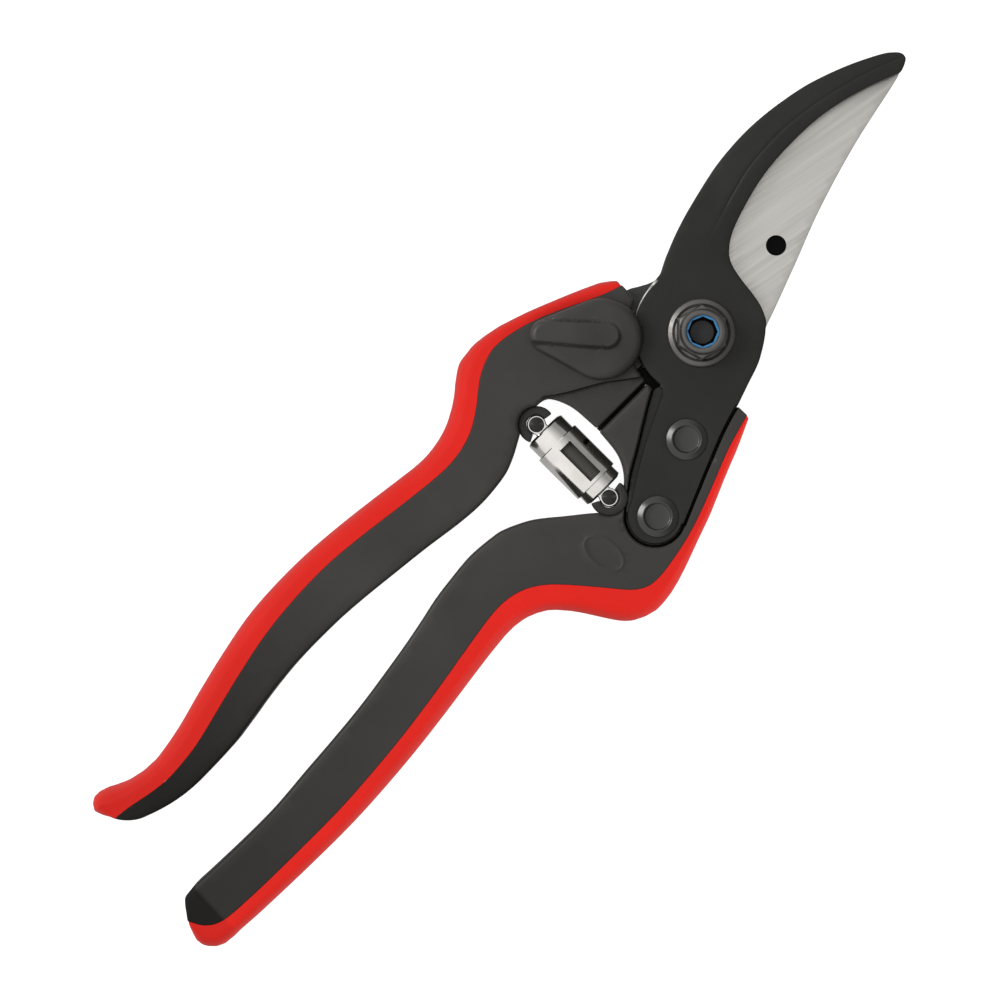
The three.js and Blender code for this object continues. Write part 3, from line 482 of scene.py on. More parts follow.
# ---- Materials ----
class Nodes:
    """A small helper for building a Principled material."""

    def __init__(self, name, color, roughness, metallic=0.0):
        self.material = bpy.data.materials.new(name)
        self.material.use_nodes = True
        self.tree = self.material.node_tree
        self.shader = self.tree.nodes["Principled BSDF"]
        self.shader.inputs["Base Color"].default_value = (*color, 1)
        self.shader.inputs["Roughness"].default_value = roughness
        self.shader.inputs["Metallic"].default_value = metallic
        self.height = None

    def node(self, kind, **values):
        node = self.tree.nodes.new(kind)
        for key, value in values.items():
            if key in node.inputs:
                node.inputs[key].default_value = value
            else:
                setattr(node, key, value)
        return node

    def link(self, output, target):
        self.tree.links.new(output, target)

    def object_place(self):
        return self.node("ShaderNodeTexCoord").outputs["Object"]

    def feed(self, name, output):
        """Links an output to one of the shader's inputs."""
        self.link(output, self.shader.inputs[name])

    def specular(self, level):
        self.shader.inputs["Specular IOR Level"].default_value = level

    def noise(self, scale, detail=3.0, roughness=0.55, stretch=(1, 1, 1)):
        node = self.node("ShaderNodeTexNoise", Scale=scale, Detail=detail, Roughness=roughness)
        mapping = self.node("ShaderNodeMapping")
        mapping.inputs["Scale"].default_value = stretch
        self.link(self.object_place(), mapping.inputs["Vector"])
        self.link(mapping.outputs["Vector"], node.inputs["Vector"])
        return node.outputs["Fac"]

    def ramp(self, value, low, high, start=0.3, end=0.7):
        node = self.node("ShaderNodeMapRange")
        node.inputs["From Min"].default_value = start
        node.inputs["From Max"].default_value = end
        node.inputs["To Min"].default_value = low
        node.inputs["To Max"].default_value = high
        self.link(value, node.inputs["Value"])
        return node.outputs["Result"]

    def vary_color(self, value, dark, light, start=0.35, end=0.65):
        ramp = self.node("ShaderNodeValToRGB")
        ramp.color_ramp.elements[0].position = start
        ramp.color_ramp.elements[1].position = end
        ramp.color_ramp.elements[0].color = (*dark, 1)
        ramp.color_ramp.elements[1].color = (*light, 1)
        self.link(value, ramp.inputs["Fac"])
        return ramp.outputs["Color"]

    def mix(self, factor, a, b):
        node = self.node("ShaderNodeMix", data_type="RGBA")
        self.link(factor, node.inputs["Factor"])
        for socket, value in ((node.inputs[6], a), (node.inputs[7], b)):
            if isinstance(value, tuple):
                socket.default_value = (*value, 1)
            else:
                self.link(value, socket)
        return node.outputs[2]

    def bump(self, value, distance, strength=1.0):
        node = self.node("ShaderNodeBump", Strength=strength, Distance=distance)
        self.link(value, node.inputs["Height"])
        if self.height is not None:
            self.link(self.height, node.inputs["Normal"])
        self.height = node.outputs["Normal"]
        self.link(self.height, self.shader.inputs["Normal"])

    def math(self, operation, a, b):
        node = self.node("ShaderNodeMath", operation=operation)
        self.link(a, node.inputs[0])
        self.link(b, node.inputs[1])
        return node.outputs[0]

    def product(self, a, b):
        return self.math("MULTIPLY", a, b)

    def with_vector(self, operation, output, vector):
        """A vector output combined with a constant vector."""
        node = self.node("ShaderNodeVectorMath", operation=operation)
        self.link(output, node.inputs[0])
        node.inputs[1].default_value = vector
        return node.outputs["Value" if operation in ("DOT_PRODUCT", "DISTANCE") else "Vector"]

    def tone_where(self, mask, color, factor):
        """The color, multiplied by a factor where the mask is 1."""
        node = self.node("ShaderNodeMix", data_type="RGBA", blend_type="MULTIPLY")
        self.link(mask, node.inputs["Factor"])
        self.link(color, node.inputs[6])
        node.inputs[7].default_value = (factor, factor, factor, 1)
        return node.outputs[2]

    def axis(self, x=0.0, y=0.0, z=0.0):
        """x, y and z of the object's own position, weighted and added, in millimetres."""
        return self.with_vector("DOT_PRODUCT", self.object_place(), (x / MM, y / MM, z / MM))

    def hole_distance(self, centre):
        """Distance in millimetres from an upright line through a point."""
        flat = self.with_vector("MULTIPLY", self.object_place(), (1 / MM, 1 / MM, 0))
        return self.with_vector("DISTANCE", flat, (*centre, 0))

    def between(self, value, start, full):
        """0 where the value is at or before start, 1 from full on. start may be the larger of the two."""
        if start < full:
            return self.ramp(value, 0.0, 1.0, start, full)
        return self.ramp(value, 1.0, 0.0, full, start)

    def end_shade_mask(self):
        """1 on the outer end of both handles, fading out towards the palm: where painted shade goes."""
        return self.between(self.axis(1.0), -85.0, -140.0)

    def upper_mask(self):
        """1 on the upper handle."""
        return self.between(self.axis(0.0, 1.0), -0.5, 0.5)

    def facet_shade_mask(self):
        """1 on the lower handle's end facet, past its crease: where painted shade goes."""
        (x, y), run = END_CREASE["lower"]
        start = x - run * y
        past = self.between(self.axis(1.0, -run), start + 0.5, start - 0.5)
        return self.product(past, self.between(self.axis(0.0, 1.0), 0.0, -1.0))

    def rim_mask(self):
        """1 on the pivot boss's rim beside the catch, where the coating is rubbed off, broken up by noise."""
        rim_radius, start, end = 13.42, -7.2, 1.4
        beside = self.product(self.between(self.axis(1.0), start, start + 0.6),
                              self.between(self.axis(1.0), end, end - 1.2))
        beside = self.product(beside, self.between(self.axis(0.0, 1.0), 9.0, 10.0))
        outer = self.between(self.hole_distance((0.0, 0.0)), rim_radius, rim_radius + 0.06)
        patchy = self.ramp(self.noise(900.0, 2.0), 0.45, 1.0, 0.35, 0.55)
        return self.product(self.product(beside, outer), patchy)

    def slope_mask(self):
        """0 on level faces, up to 1 on steep ones."""
        normal = self.node("ShaderNodeNewGeometry").outputs["Normal"]
        return self.between(self.with_vector("DOT_PRODUCT", normal, (0, 0, 1)), 0.9, 0.35)

    def edges(self, low=0.55, high=0.7):
        """About 1 on convex edges, from the surface's pointiness."""
        return self.between(self.node("ShaderNodeNewGeometry").outputs["Pointiness"], low, high)


def scaled(color, factor):
    return tuple(c * factor for c in color)


def moulded(name, color, roughness, grain=2200.0, depth=0.00002, spread=0.12, specular=0.3, handle=False):
    """Moulded plastic with a spark-eroded grain, slow tone changes and lighter edges, partly rubbed wear and
    partly a painted edge highlight.

    A handle is also darker and duller towards its outer end, the upper one more, and on the end facet: the
    darkening is painted shade, for light falling off towards the ends and a facet that slopes away from it."""
    m = Nodes(name, color, roughness)
    tone = m.vary_color(m.noise(45.0, 4.0), scaled(color, 1 - spread), scaled(color, 1 + spread))
    # Lighter along convex edges: partly rubbed wear, partly a painted edge highlight.
    tone = m.mix(m.ramp(m.edges(0.52, 0.62), 0.0, 0.25, 0.0, 1.0), tone, scaled(color, 1.5))
    m.specular(specular)
    if handle:
        facet, end, upper = m.facet_shade_mask(), m.end_shade_mask(), m.upper_mask()
        # Painted shade: darker on the end facet, towards the outer ends, and more on the upper handle's end.
        tone = m.tone_where(facet, tone, 0.4)
        tone = m.tone_where(end, tone, 0.6)
        tone = m.tone_where(m.product(end, upper), tone, 0.55)
        share = m.ramp(upper, 0.5, 1.0, 0.0, 1.0)
        dull = m.math("MAXIMUM", facet, m.product(end, share))
        m.feed("Specular IOR Level", m.ramp(dull, specular, 0.1, 0.0, 1.0))
    m.feed("Base Color", tone)
    fine = m.noise(grain, 2.0)
    m.feed("Roughness", m.ramp(m.noise(160.0, 3.0), roughness - 0.05, roughness + 0.06))
    m.bump(fine, depth, 0.6)
    m.bump(m.noise(30.0, 2.0), 0.00006, 0.3)
    return m.material


def soft_grip():
    """Soft-touch red: satin, a very fine matt grain, a paler red painted on its slopes as a sheen, and painted
    shade at the ends.
    """
    red, painted_sheen = (0.56, 0.0118, 0.0070), (0.51, 0.0230, 0.0175)
    m = Nodes("grip_red", red, 0.5)
    tone = m.vary_color(m.noise(38.0, 3.0), scaled(red, 0.93), scaled(red, 1.05))
    # Painted shade: darker at the upper handle's outer end and on the lower end facet.
    tone = m.tone_where(m.product(m.end_shade_mask(), m.upper_mask()), tone, 0.88)
    tone = m.tone_where(m.facet_shade_mask(), tone, 0.85)
    # Painted sheen: a paler, less saturated red on steep faces.
    m.feed("Base Color", m.mix(m.slope_mask(), tone, painted_sheen))
    m.feed("Roughness", m.ramp(m.noise(220.0, 3.0), 0.55, 0.65))
    m.specular(0.12)
    m.bump(m.noise(1800.0, 2.0), 0.000015, 0.5)
    return m.material


def coated_steel(name, color, roughness, specular=0.3, bare_rim=False):
    """Black non-stick coating over steel: fine orange peel, slow gloss changes, lighter along edges, partly worn
    coating and partly a painted edge highlight.
    """
    worn_and_highlight_tone, bare_tone = (0.16, 0.155, 0.145), (0.62, 0.60, 0.57)
    m = Nodes(name, color, roughness)
    tone = m.vary_color(m.noise(70.0, 4.0), scaled(color, 0.86), scaled(color, 1.14))
    # Lighter along edges: partly worn coating, partly a painted edge highlight.
    tone = m.mix(m.ramp(m.edges(0.56, 0.72), 0.0, 0.35, 0.0, 1.0), tone, worn_and_highlight_tone)
    if bare_rim:
        rim = m.rim_mask()
        tone = m.mix(rim, tone, bare_tone)
        m.feed("Metallic", m.ramp(rim, 0.0, 0.7, 0.0, 1.0))
    m.feed("Base Color", tone)
    m.specular(specular)
    m.feed("Roughness", m.ramp(m.noise(300.0, 3.0), roughness - 0.05, roughness + 0.07))
    m.bump(m.noise(900.0, 2.0), 0.000012, 0.5)
    return m.material


def ground_steel():
    """Surface-ground blade steel: straight grinding lines in tone, gloss and height. It is black with coating
    by the pivot, and painted near black over the sap hole as shade in the hole, on both faces, because that mask
    takes no account of height."""
    steel, coating, hole_shade = (0.56, 0.545, 0.51), (0.012, 0.012, 0.011), (0.006, 0.006, 0.006)
    m = Nodes("ground_steel", steel, 0.34, 1.0)
    turn, drawn = m.node("ShaderNodeMapping"), m.node("ShaderNodeMapping")
    turn.inputs["Rotation"].default_value = (0, 0, math.radians(10))
    drawn.inputs["Scale"].default_value = (0.02, 1, 1)
    m.link(m.object_place(), turn.inputs["Vector"])
    m.link(turn.outputs["Vector"], drawn.inputs["Vector"])
    lines = m.node("ShaderNodeTexNoise", Scale=2600.0, Detail=3.0, Roughness=0.6)
    broad = m.node("ShaderNodeTexNoise", Scale=1100.0, Detail=3.0, Roughness=0.65)
    for node in (lines, broad):
        m.link(drawn.outputs["Vector"], node.inputs["Vector"])
    tone = m.vary_color(broad.outputs["Fac"], scaled(steel, 0.88), scaled(steel, 1.08), 0.3, 0.7)
    # Painted shade: the sap hole is painted near black, on both faces.
    tone = m.mix(m.between(m.hole_distance(SAP_HOLE), SAP_RADIUS, 2.0), tone, hole_shade)
    coated = m.between(m.axis(1.0), 7.2, 6.5)
    m.feed("Base Color", m.mix(coated, tone, coating))
    m.feed("Metallic", m.ramp(coated, 1.0, 0.0, 0.0, 1.0))
    m.feed("Roughness", m.ramp(lines.outputs["Fac"], 0.28, 0.42))
    m.bump(lines.outputs["Fac"], 0.00001, 0.6)
    return m.material


def turned_metal(name, color, roughness, metallic=1.0, rings=5000.0, depth=0.000004):
    """Plated or turned metal with faint machining marks and slow gloss changes."""
    m = Nodes(name, color, roughness, metallic)
    tone = m.vary_color(m.noise(220.0, 3.0), scaled(color, 0.9), scaled(color, 1.06))
    m.feed("Base Color", tone)
    m.feed("Roughness", m.ramp(m.noise(500.0, 3.0), max(0.03, roughness - 0.05), roughness + 0.06))
    m.bump(m.noise(rings, 2.0, 0.5, (1, 1, 0.3)), depth, 0.5)
    return m.material


materials = {
    "core_plastic": moulded("core_plastic", (0.030, 0.0285, 0.0255), 0.5, specular=0.26, handle=True),
    "grip_rubber": soft_grip(),
    "black_steel": coated_steel("black_steel", (0.0125, 0.0125, 0.0108), 0.38, 0.24, True),
    "blade_steel": ground_steel(),
    "fastener_black": coated_steel("fastener_black", (0.016, 0.0155, 0.015), 0.35, 0.3),
    "nut_steel": turned_metal("nut_steel", (0.115, 0.110, 0.104), 0.36, 0.8),
    "rivet_steel": coated_steel("rivet_steel", (0.0115, 0.0115, 0.0105), 0.24, 0.65),
    "bare_steel": turned_metal("bare_steel", (0.50, 0.49, 0.47), 0.3),
    "bronze": turned_metal("bronze", (0.45, 0.26, 0.09), 0.35),
    "blue_nylon": moulded("blue_nylon", (0.03, 0.15, 0.30), 0.4, 1500.0, 0.00001, 0.2),
    "nickel": turned_metal("nickel", (0.80, 0.775, 0.74), 0.12),
    "black_plastic": moulded("black_plastic", (0.008, 0.008, 0.0075), 0.45, 1600.0, 0.00001, specular=0.2),
    "seat_plastic": moulded("seat_plastic", (0.019, 0.018, 0.0165), 0.5, 1600.0, 0.00001, specular=0.25),
    # Painted light: black plastic lightened for the plunger, to offset the shade inside the tube.
    "plunger_lightened_plastic": moulded("plunger_lightened_plastic", (0.052, 0.048, 0.043), 0.5, 1600.0, 0.00001, specular=0.3),
    "catch_plastic": moulded("catch_plastic", (0.026, 0.0245, 0.0225), 0.42, 1400.0, 0.00002, 0.3, 0.4),
    "spring_wire": turned_metal("spring_wire", (0.35, 0.34, 0.33), 0.28),
}


# ---- Handles ----
def handle_level(x):
    fuller = (GRIP_HALF - HEAD_HALF) * step(-x, -PALM_START, -PALM_FULL)
    thinner = (GRIP_HALF - END_HALF) * step(-x, -PALM_END, -HANDLE_END)
    return HEAD_HALF + fuller - thinner


CORE_SECTION = {"lower": -0.5, "upper": 0.5}  # levels that clear the pockets for tail and tang


def handle_outlines(side):
    """Outlines of a handle's core and of its grip, the grip brought up to the core so the seam is closed."""
    core = cleaned(section(side + "_handle_core", CORE_SECTION[side])[0])
    red = cleaned(section(side + "_handle_grip", 0.07)[0])
    touching = edge_distance(red, core) < 0.42
    feet = nearest_on(red[touching], core)
    core_fillet = lambda point: 0.5 if edge_distance(point[None], red)[0] > 0.6 else 0.05
    red[touching] = feet + 0.08 * (red[touching] - feet)
    red_fillet = lambda point: 0.4 if edge_distance(point[None], core)[0] > 0.6 else 0.05
    return smoothed(core, fillet=core_fillet), smoothed(red, 0.5, 50.0, red_fillet)


outlines = {side: handle_outlines(side) for side in ("lower", "upper")}
core_outlines = {side: core for side, (core, red) in outlines.items()}
grip_outlines = {side: red for side, (core, red) in outlines.items()}
DECKS = {"lower": HEAD_HALF, "upper": DECK}


def end_drop(side, points):
    """How far the end facet lies below the handle's face."""
    (x, y), run = END_CREASE[side]
    past = np.clip(x + run * (points[:, 1] - y) - points[:, 0], 0, None)
    return END_SLOPE[side] * past


def end_crease(side):
    (x, y), run = END_CREASE[side]
    return np.array([(x + run * dy, y + dy) for dy in np.linspace(-20, 20, 81)])


def front_level(side, points):
    return np.maximum(handle_level(points[:, 0]), DECKS[side]) - end_drop(side, points)


def back_level(side, points):
    return -handle_level(points[:, 0]) + end_drop(side, points)


def edge_radius(side, points, gap):
    """Small along the seam with the grip, larger on the handle's bare edges."""
    seam = edge_distance(points, grip_outlines[side])
    return 0.12 + 0.78 * step(seam - gap, 0.5, 2.5)


def core_face(side, points, gap):
    return rounded_edge(gap, edge_radius(side, points, gap))


tail = smoothed(section("counter_blade", 2.0)[0])
tang = smoothed(section("cutting_blade", -2.0)[0])
POCKET_GAP, WALL_WIDTH = 0.35, 0.06  # round a tail or tang; and how far a wall's foot stands in from its top
RIVETS, RIVET_BORE = [(-17.1, -13.0), (-32.1, -19.8)], 2.9
BLIND_RIVETS, BLIND_BORE = [(-24.0, 16.2), (-31.5, 19.9)], 2.2
PIVOT_BORE = 4.4
CATCH_ROOM, CATCH_FLOOR = 6.9, 1.1  # radius and floor of the round pocket under the catch
MARK_CENTRE, MARK_HALF, MARK_LEAN = np.array([-44.9, -17.4]), (4.5, 2.6), -83


def clipped(loop, region, margin=0.0):
    """The longest run of a closed loop that lies inside a region."""
    keep = signed_distance(loop, region) < margin
    start = np.nonzero(~keep)[0][0]
    loop, keep = np.roll(loop, -start, 0), np.roll(keep, -start)
    runs, run = [], []
    for point, good in zip(loop, keep):
        if good:
            run.append(point)
        elif run:
            runs.append(run)
            run = []
    if run:
        runs.append(run)
    return np.array(max(runs, key=len))


def mark_loop(grow=0.0):
    """A plain oval on the lower handle."""
    lean = math.radians(MARK_LEAN)
    a = np.linspace(0, 2 * np.pi, 72, endpoint=False)
    x, y = (MARK_HALF[0] + grow) * np.cos(a), (MARK_HALF[1] + grow) * np.sin(a)
    turned_x, turned_y = x * math.cos(lean) - y * math.sin(lean), x * math.sin(lean) + y * math.cos(lean)
    return MARK_CENTRE + np.stack([turned_x, turned_y], 1)


def wall_lines(loop, foot, region, margin):
    """The two lines of a steep wall, its top edge and its foot, where they cross a region."""
    return [(clipped(loop, region, margin), False), (clipped(foot, region, margin), False)]


def lower_handle():
    core = core_outlines["lower"]
    pocket = offset(tail, POCKET_GAP)
    oval = mark_loop()

    def top(points, gap):
        wall = signed_distance(points, pocket)
        z = front_level("lower", points) - core_face("lower", points, gap)
        z -= rounded_edge(np.abs(wall), 0.3) * (wall > -1e-3)
        ring = np.abs(signed_distance(points, oval))
        z += 0.1 * (1 - step(ring, 0.12, 0.4))
        return np.where(wall < -WALL_WIDTH / 2, COUNTER_BOTTOM - 0.3, z)

    def bottom(points, gap):
        return back_level("lower", points) + core_face("lower", points, gap)

    lines = wall_lines(pocket, offset(tail, POCKET_GAP - WALL_WIDTH), core, 1.0)
    lines.append((end_crease("lower"), False))
    near = [mark_loop(g) for g in (-0.42, -0.28, -0.14, 0, 0.14, 0.28, 0.42)]
    near += [offset(pocket, g) for g in (0.08, 0.3)]
    obj = relief("lower_core_body", core, top, bottom, materials["core_plastic"],
                 [circle(c, RIVET_BORE) for c in RIVETS], lines, extra=near)
    place(obj, "lower", "lower_handle_core")


def upper_handle():
    core = core_outlines["upper"]
    pad_line = hermite(np.array([(-31.4, 13.2), (-27.5, 10.5), (-24, 8.5), (-20.9, 6.7), (-17.8, 4.4),
                                 (-14, 1.6)]), 0.5)
    pad = np.concatenate([pad_line, [(-12, -5), (-40, -5), (-34, 11)]])[::-1]
    tang_room = offset(tang, POCKET_GAP)
    lines = [(end_crease("upper"), False)]
    lines += wall_lines(tang_room, offset(tang_room, -WALL_WIDTH), core, 0.8)
    lines += wall_lines(circle(CATCH_PIVOT, CATCH_ROOM, 80), circle(CATCH_PIVOT, CATCH_ROOM - WALL_WIDTH, 80),
                        core, 0.5)
    lines += [(pad_line, False), (pad_line + np.array([0.035, -0.05]), False)]
    for c in BLIND_RIVETS:
        lines += [(circle(c, BLIND_BORE - inset, 32), True) for inset in (0, WALL_WIDTH)]

    def top(points, gap):
        z = front_level("upper", points) - core_face("upper", points, gap)
        wall = signed_distance(points, pad)
        z -= rounded_edge(np.abs(wall), 0.45) * (wall > -1e-3)
        low = STOP_PAD - rounded_edge(gap, 0.35) + 0.5 * (1 - step(-wall, 0.03, 0.6))
        z = np.where(wall < -0.03, low, z)
        hole = np.hypot(*(points - np.array(CATCH_PIVOT)).T)
        return np.where(hole < CATCH_ROOM - WALL_WIDTH / 2, CATCH_FLOOR, z)

    def bottom(points, gap):
        z = back_level("upper", points) + core_face("upper", points, gap)
        z = np.where(signed_distance(points, tang_room) < -WALL_WIDTH / 2, CUTTER_TOP + 0.3, z)
        for c in BLIND_RIVETS:
            hole = np.hypot(points[:, 0] - c[0], points[:, 1] - c[1])
            z = np.where(hole < BLIND_BORE - WALL_WIDTH / 2, 3.3, z)
        return z

    near = [offset(tang_room, g) for g in (0.08, 0.3)]
    beside = ((-0.05, 0.08), (-0.12, 0.2), (-0.25, 0.4), (0.12, -0.2), (0.3, -0.5))
    near += [pad_line + np.array(d) for d in beside]
    obj = relief("upper_core_body", core, top, bottom, materials["core_plastic"], (), lines, extra=near)
    place(obj, "upper", "upper_handle_core")


def grip(side):
    """The red back: flat beside the seam, rolling over to the outer edge."""
    outline = grip_outlines[side]
    on_seam = edge_distance(outline, core_outlines[side]) < 0.12
    start = np.nonzero(on_seam & ~np.roll(on_seam, 1))[0][0]
    outline = np.roll(outline, -start, 0)
    seam_count = int(on_seam.sum())
    seam_line, back_line = outline[:seam_count], outline[seam_count - 1:]

    def profile(points):
        to_seam = edge_distance(points, seam_line, False)
        to_back = edge_distance(points, back_line, False)
        across = to_seam / np.maximum(to_seam + to_back, 1e-6)
        u = np.clip((across - 0.3) / 0.7, 0, 1)
        return np.maximum(1 - u**3, 0) ** 0.5

    rings = (0.012, 0.05, 0.12, 0.24, 0.42, 0.68, 1.0, 1.4, 1.9, 2.5, 3.2)
    obj = relief(side + "_grip_body", outline, lambda p, gap: profile(p) * front_level(side, p),
                 lambda p, gap: profile(p) * back_level(side, p), materials["grip_rubber"],
                 lines=[(end_crease(side), False)], rings=rings, grid=1.1)
    place(obj, side, side + "_handle_grip")


# ---- Blades ----
CREASE = np.array([(12.5, 11.9), (14.9, 12.5), (20.1, 14), (25, 15.4), (29.9, 16.6), (35, 17.1), (40.6, 17.2),
                   (45, 16.8), (49.9, 16), (55.1, 14.8), (60, 13.4), (65.3, 11.5), (69.0, 9.9), (73.0, 8.0)])
LEDGE_LINE = np.array([(-14.35, -3.5), (-18, -5.2), (-21.6, -6.9), (-26.4, -9.5), (-30.3, -11.9),
                       (-33.2, -13.8)])


def plateau_loop():
    """The raised face of the tail. Outside it the tail steps down to a narrow ledge along its left side."""
    left = hermite(LEDGE_LINE, 0.5)
    end = arc(TAIL_END, 5.4, 100, 298)[1:]
    right = hermite(np.array([(-29.4, -24.35), (-25.6, -22.75), (-17.9, -19.5), (-10.1, -16.45),
                              (-5.3, -15)]), 0.6)
    return np.concatenate([left, end, right, [(0, -40), (120, -40), (120, 40), (-13.4, 40), (-13.4, -2.6)]])


def counter_blade():
    crease = hermite(CREASE, 0.6)
    plateau = plateau_loop()
    lines = [(clipped(crease, tail, -0.3), False), (clipped(plateau, tail, -0.05), False),
             (clipped(offset(plateau, 0.16), tail, -0.02), False)]
    slope = np.gradient(crease[:, 1], crease[:, 0])

    def top(points, gap):
        x, y = points[:, 0], points[:, 1]
        ridge_y = np.interp(x, crease[:, 0], crease[:, 1])
        lean = np.interp(x, crease[:, 0], slope)
        from_ridge = (y - ridge_y) / np.sqrt(1 + lean**2)
        fade = step(x, 12.0, 24.0)
        fall = np.where(from_ridge > 0, 0.11 * from_ridge, -0.04 * from_ridge)
        z = COUNTER_TOP - fade * (fall + 0.13 * np.exp(-(from_ridge / 0.24) ** 2))
        ledge = signed_distance(points, plateau)
        z -= 1.2 * step(ledge, 0.0, 0.14)
        return z - rounded_edge(gap, 0.34)

    def bottom(points, gap):
        return COUNTER_BOTTOM + rounded_edge(gap, 0.12)

    holes = [circle((0, 0), PIVOT_BORE)] + [circle(c, RIVET_BORE) for c in RIVETS]
    near = [offset(plateau, -0.15), offset(plateau, 0.4)]
    near += [crease + (0, g) for g in (0.25, -0.25, 0.5, -0.5)]
    obj = relief("counter_blade_body", tail, top, bottom, materials["black_steel"], holes, lines,
                 rings=(0.02, 0.09, 0.2, 0.34), grid=1.3, sharp=22.0, extra=near)
    place(obj, "lower", "counter_blade")


def cutting_blade():
    edge = hermite(np.array([(66.2, 9.6), (60, 13), (55, 14.8), (50, 16.1), (45, 16.8), (40, 17), (35, 16.8),
                             (30, 16.2), (25, 15.1), (20, 13.7), (15, 12.6)]), 0.6)

    def top(points, gap):
        z = CUTTER_TOP - rounded_edge(gap, 0.18)
        hole = np.hypot(*(points - np.array(SAP_HOLE)).T)
        return np.where(hole < SAP_RADIUS - WALL_WIDTH / 2, CUTTER_TOP - 1.8, z)

    def bottom(points, gap):
        from_edge = edge_distance(points, edge, False)
        ramp = np.clip(1 - from_edge / 6.5, 0, 1) * step(points[:, 0], 10.0, 16.0)
        return np.minimum(CUTTER_BOTTOM + rounded_edge(gap, 0.25) + 3.2 * ramp, CUTTER_TOP - 0.35)

    holes = [circle((0, 0), PIVOT_BORE)] + [circle(c, BLIND_BORE, 32) for c in BLIND_RIVETS]
    lines = [(circle(SAP_HOLE, SAP_RADIUS - inset), True) for inset in (0, WALL_WIDTH)]
    obj = relief("cutting_blade_body", tang, top, bottom, materials["blade_steel"], holes, lines,
                 rings=(0.03, 0.1, 0.2), sharp=24.0)
    place(obj, "upper", "cutting_blade")


def counter_rivet(name, centre):
    """A dished head on the front, a shank through the tail and the handle, and a set head on the back."""
    top, back = COUNTER_TOP + 0.02, 1 - HEAD_HALF
    profile = rounded_profile([
        (0, back - 0.7), (2.6, back - 0.72), (3.05, back - 0.95), (3.5, back - 0.95), (3.95, back - 0.5),
        (3.95, back), (2.6, back), (2.6, top), (4.15, top, 0), (4.1, top + 0.28, 0.1),
        (3.0, top + 0.72, 0.15), (2.8, top + 0.7, 0.1), (2.5, top + 0.36, 0.1), (1.6, top + 0.25, 0.3),
        (0, top + 0.2)], 0.25)
    turned(name, "lower", "black_steel", "rivet_steel", profile, (*centre, 0))


def blind_rivet(name, centre):
    """A head on the back of the cutting blade and a shank that ends inside the upper handle."""
    face = CUTTER_BOTTOM - 0.02
    profile = rounded_profile([
        (0, face - 0.55), (2.1, face - 0.6), (2.7, face - 0.95), (3.1, face - 0.95), (3.6, face - 0.45),
        (3.6, face), (1.9, face), (1.9, 3.0), (0, 3.0)], 0.25)
    turned(name, "upper", "black_steel", "black_steel", profile, (*centre, 0), segments=56)


# ---- Pivot ----
def hexagon(radius, angle):
    """Distance from the axis to the side of a hexagon with this circumradius."""
    across = (angle % 60) - 30
    return radius * math.cos(math.radians(30)) / math.cos(math.radians(across))


def pivot_nut():
    """Flange, hexagon with turned chamfers, round collar and an open bore."""
    face = COUNTER_TOP + 0.02
    turn, hex_radius = 45.0, 10 / math.sqrt(3)
    flange = [(3.2, face), (6.55, face), (6.8, face + 0.2), (6.82, face + 0.65), (6.62, face + 0.92),
              (6.2, face + 1.1), (5.85, face + 1.22), (5.3, face + 0.95), (4.9, face + 1.2)]
    body = [(6.0, h) for h in np.linspace(face + 1.25, 8.75, 4)]
    body += [(r, 9.5 + (5.75 - r) * 0.62) for r in (5.75, 5.6, 5.45, 5.3, 5.15, 5.0, 4.85)]
    crown = [(4.72, 10.12), (4.62, 10.2), (4.56, 10.36), (4.5, 11.1), (4.36, 11.55), (4.1, 11.84),
             (3.8, 11.9), (3.45, 11.84), (3.3, 11.7), (3.25, 11.4), (3.25, 10.5), (3.22, 10.3), (3.2, 10.1)]
    rows = [(*row, part is body) for part in (flange, body, crown) for row in part]
    segments = 144
    vertices = []
    for radius, height, sided in rows:
        draft = 0.09 * (height - face)
        for i in range(segments):
            angle = 360 * i / segments
            here = min(radius, hexagon(hex_radius - draft, angle - turn)) if sided else radius
            angle = math.radians(angle)
            vertices.append((here * math.cos(angle), here * math.sin(angle), height))
    rings = even_rows(len(rows), segments)
    obj = new_object("pivot_nut_body", vertices, ring_faces(rings + rings[:1]), materials["nut_steel"], 26.0)
    place(obj, "lower", "pivot_nut")


def ring_profile(inner, outer, low, high, c=0.15):
    """The section of a ring with chamfered edges."""
    return [(inner + c, low), (outer - c, low), (outer, low + c), (outer, high - c), (outer - c, high),
            (inner + c, high), (inner, high - c), (inner, low + c)]


def pivot_rings():
    turned("pivot_nut_insert", "lower", "blue_nylon", "blue_nylon",
           ring_profile(2.98, 3.5, 10.5, 11.35, 0.08), name="nut_insert_body", segments=8, closed=True)
    turned("pivot_bush", "lower", "bronze", "bronze", ring_profile(3.2, 4.1, -3.65, 4.55), closed=True)
    turned("pivot_washer", "lower", "bare_steel", "bare_steel", ring_profile(3.2, 7.4, -4.8, -4.0, 0.2),
           segments=96, closed=True)


def pivot_bolt():
    """Round head with a flat back, shank, and a thread that ends inside the nut."""
    seat, back = CUTTER_BOTTOM - 1.15, -LIFT
    head = rounded_profile([(0, back), (4.7, back, 0.5), (5.8, back + 0.42, 0.5), (6.38, back + 1.25, 0.5),
                            (6.5, back + 2.0), (6.5, seat, 0.15), (2.9, seat, 0), (2.9, 4.4)], 0.3)
    crests, pitch, depth = 8, 1.0, 0.35
    thread = [(2.9 - depth * (i % 2), 4.6 + 0.5 * pitch * i) for i in range(crests)]
    profile = head + thread + [(2.3, 8.45), (0, 8.45)]
    turned("pivot_bolt", "lower", "fastener_black", "fastener_black", profile, segments=96, sharp=30.0)


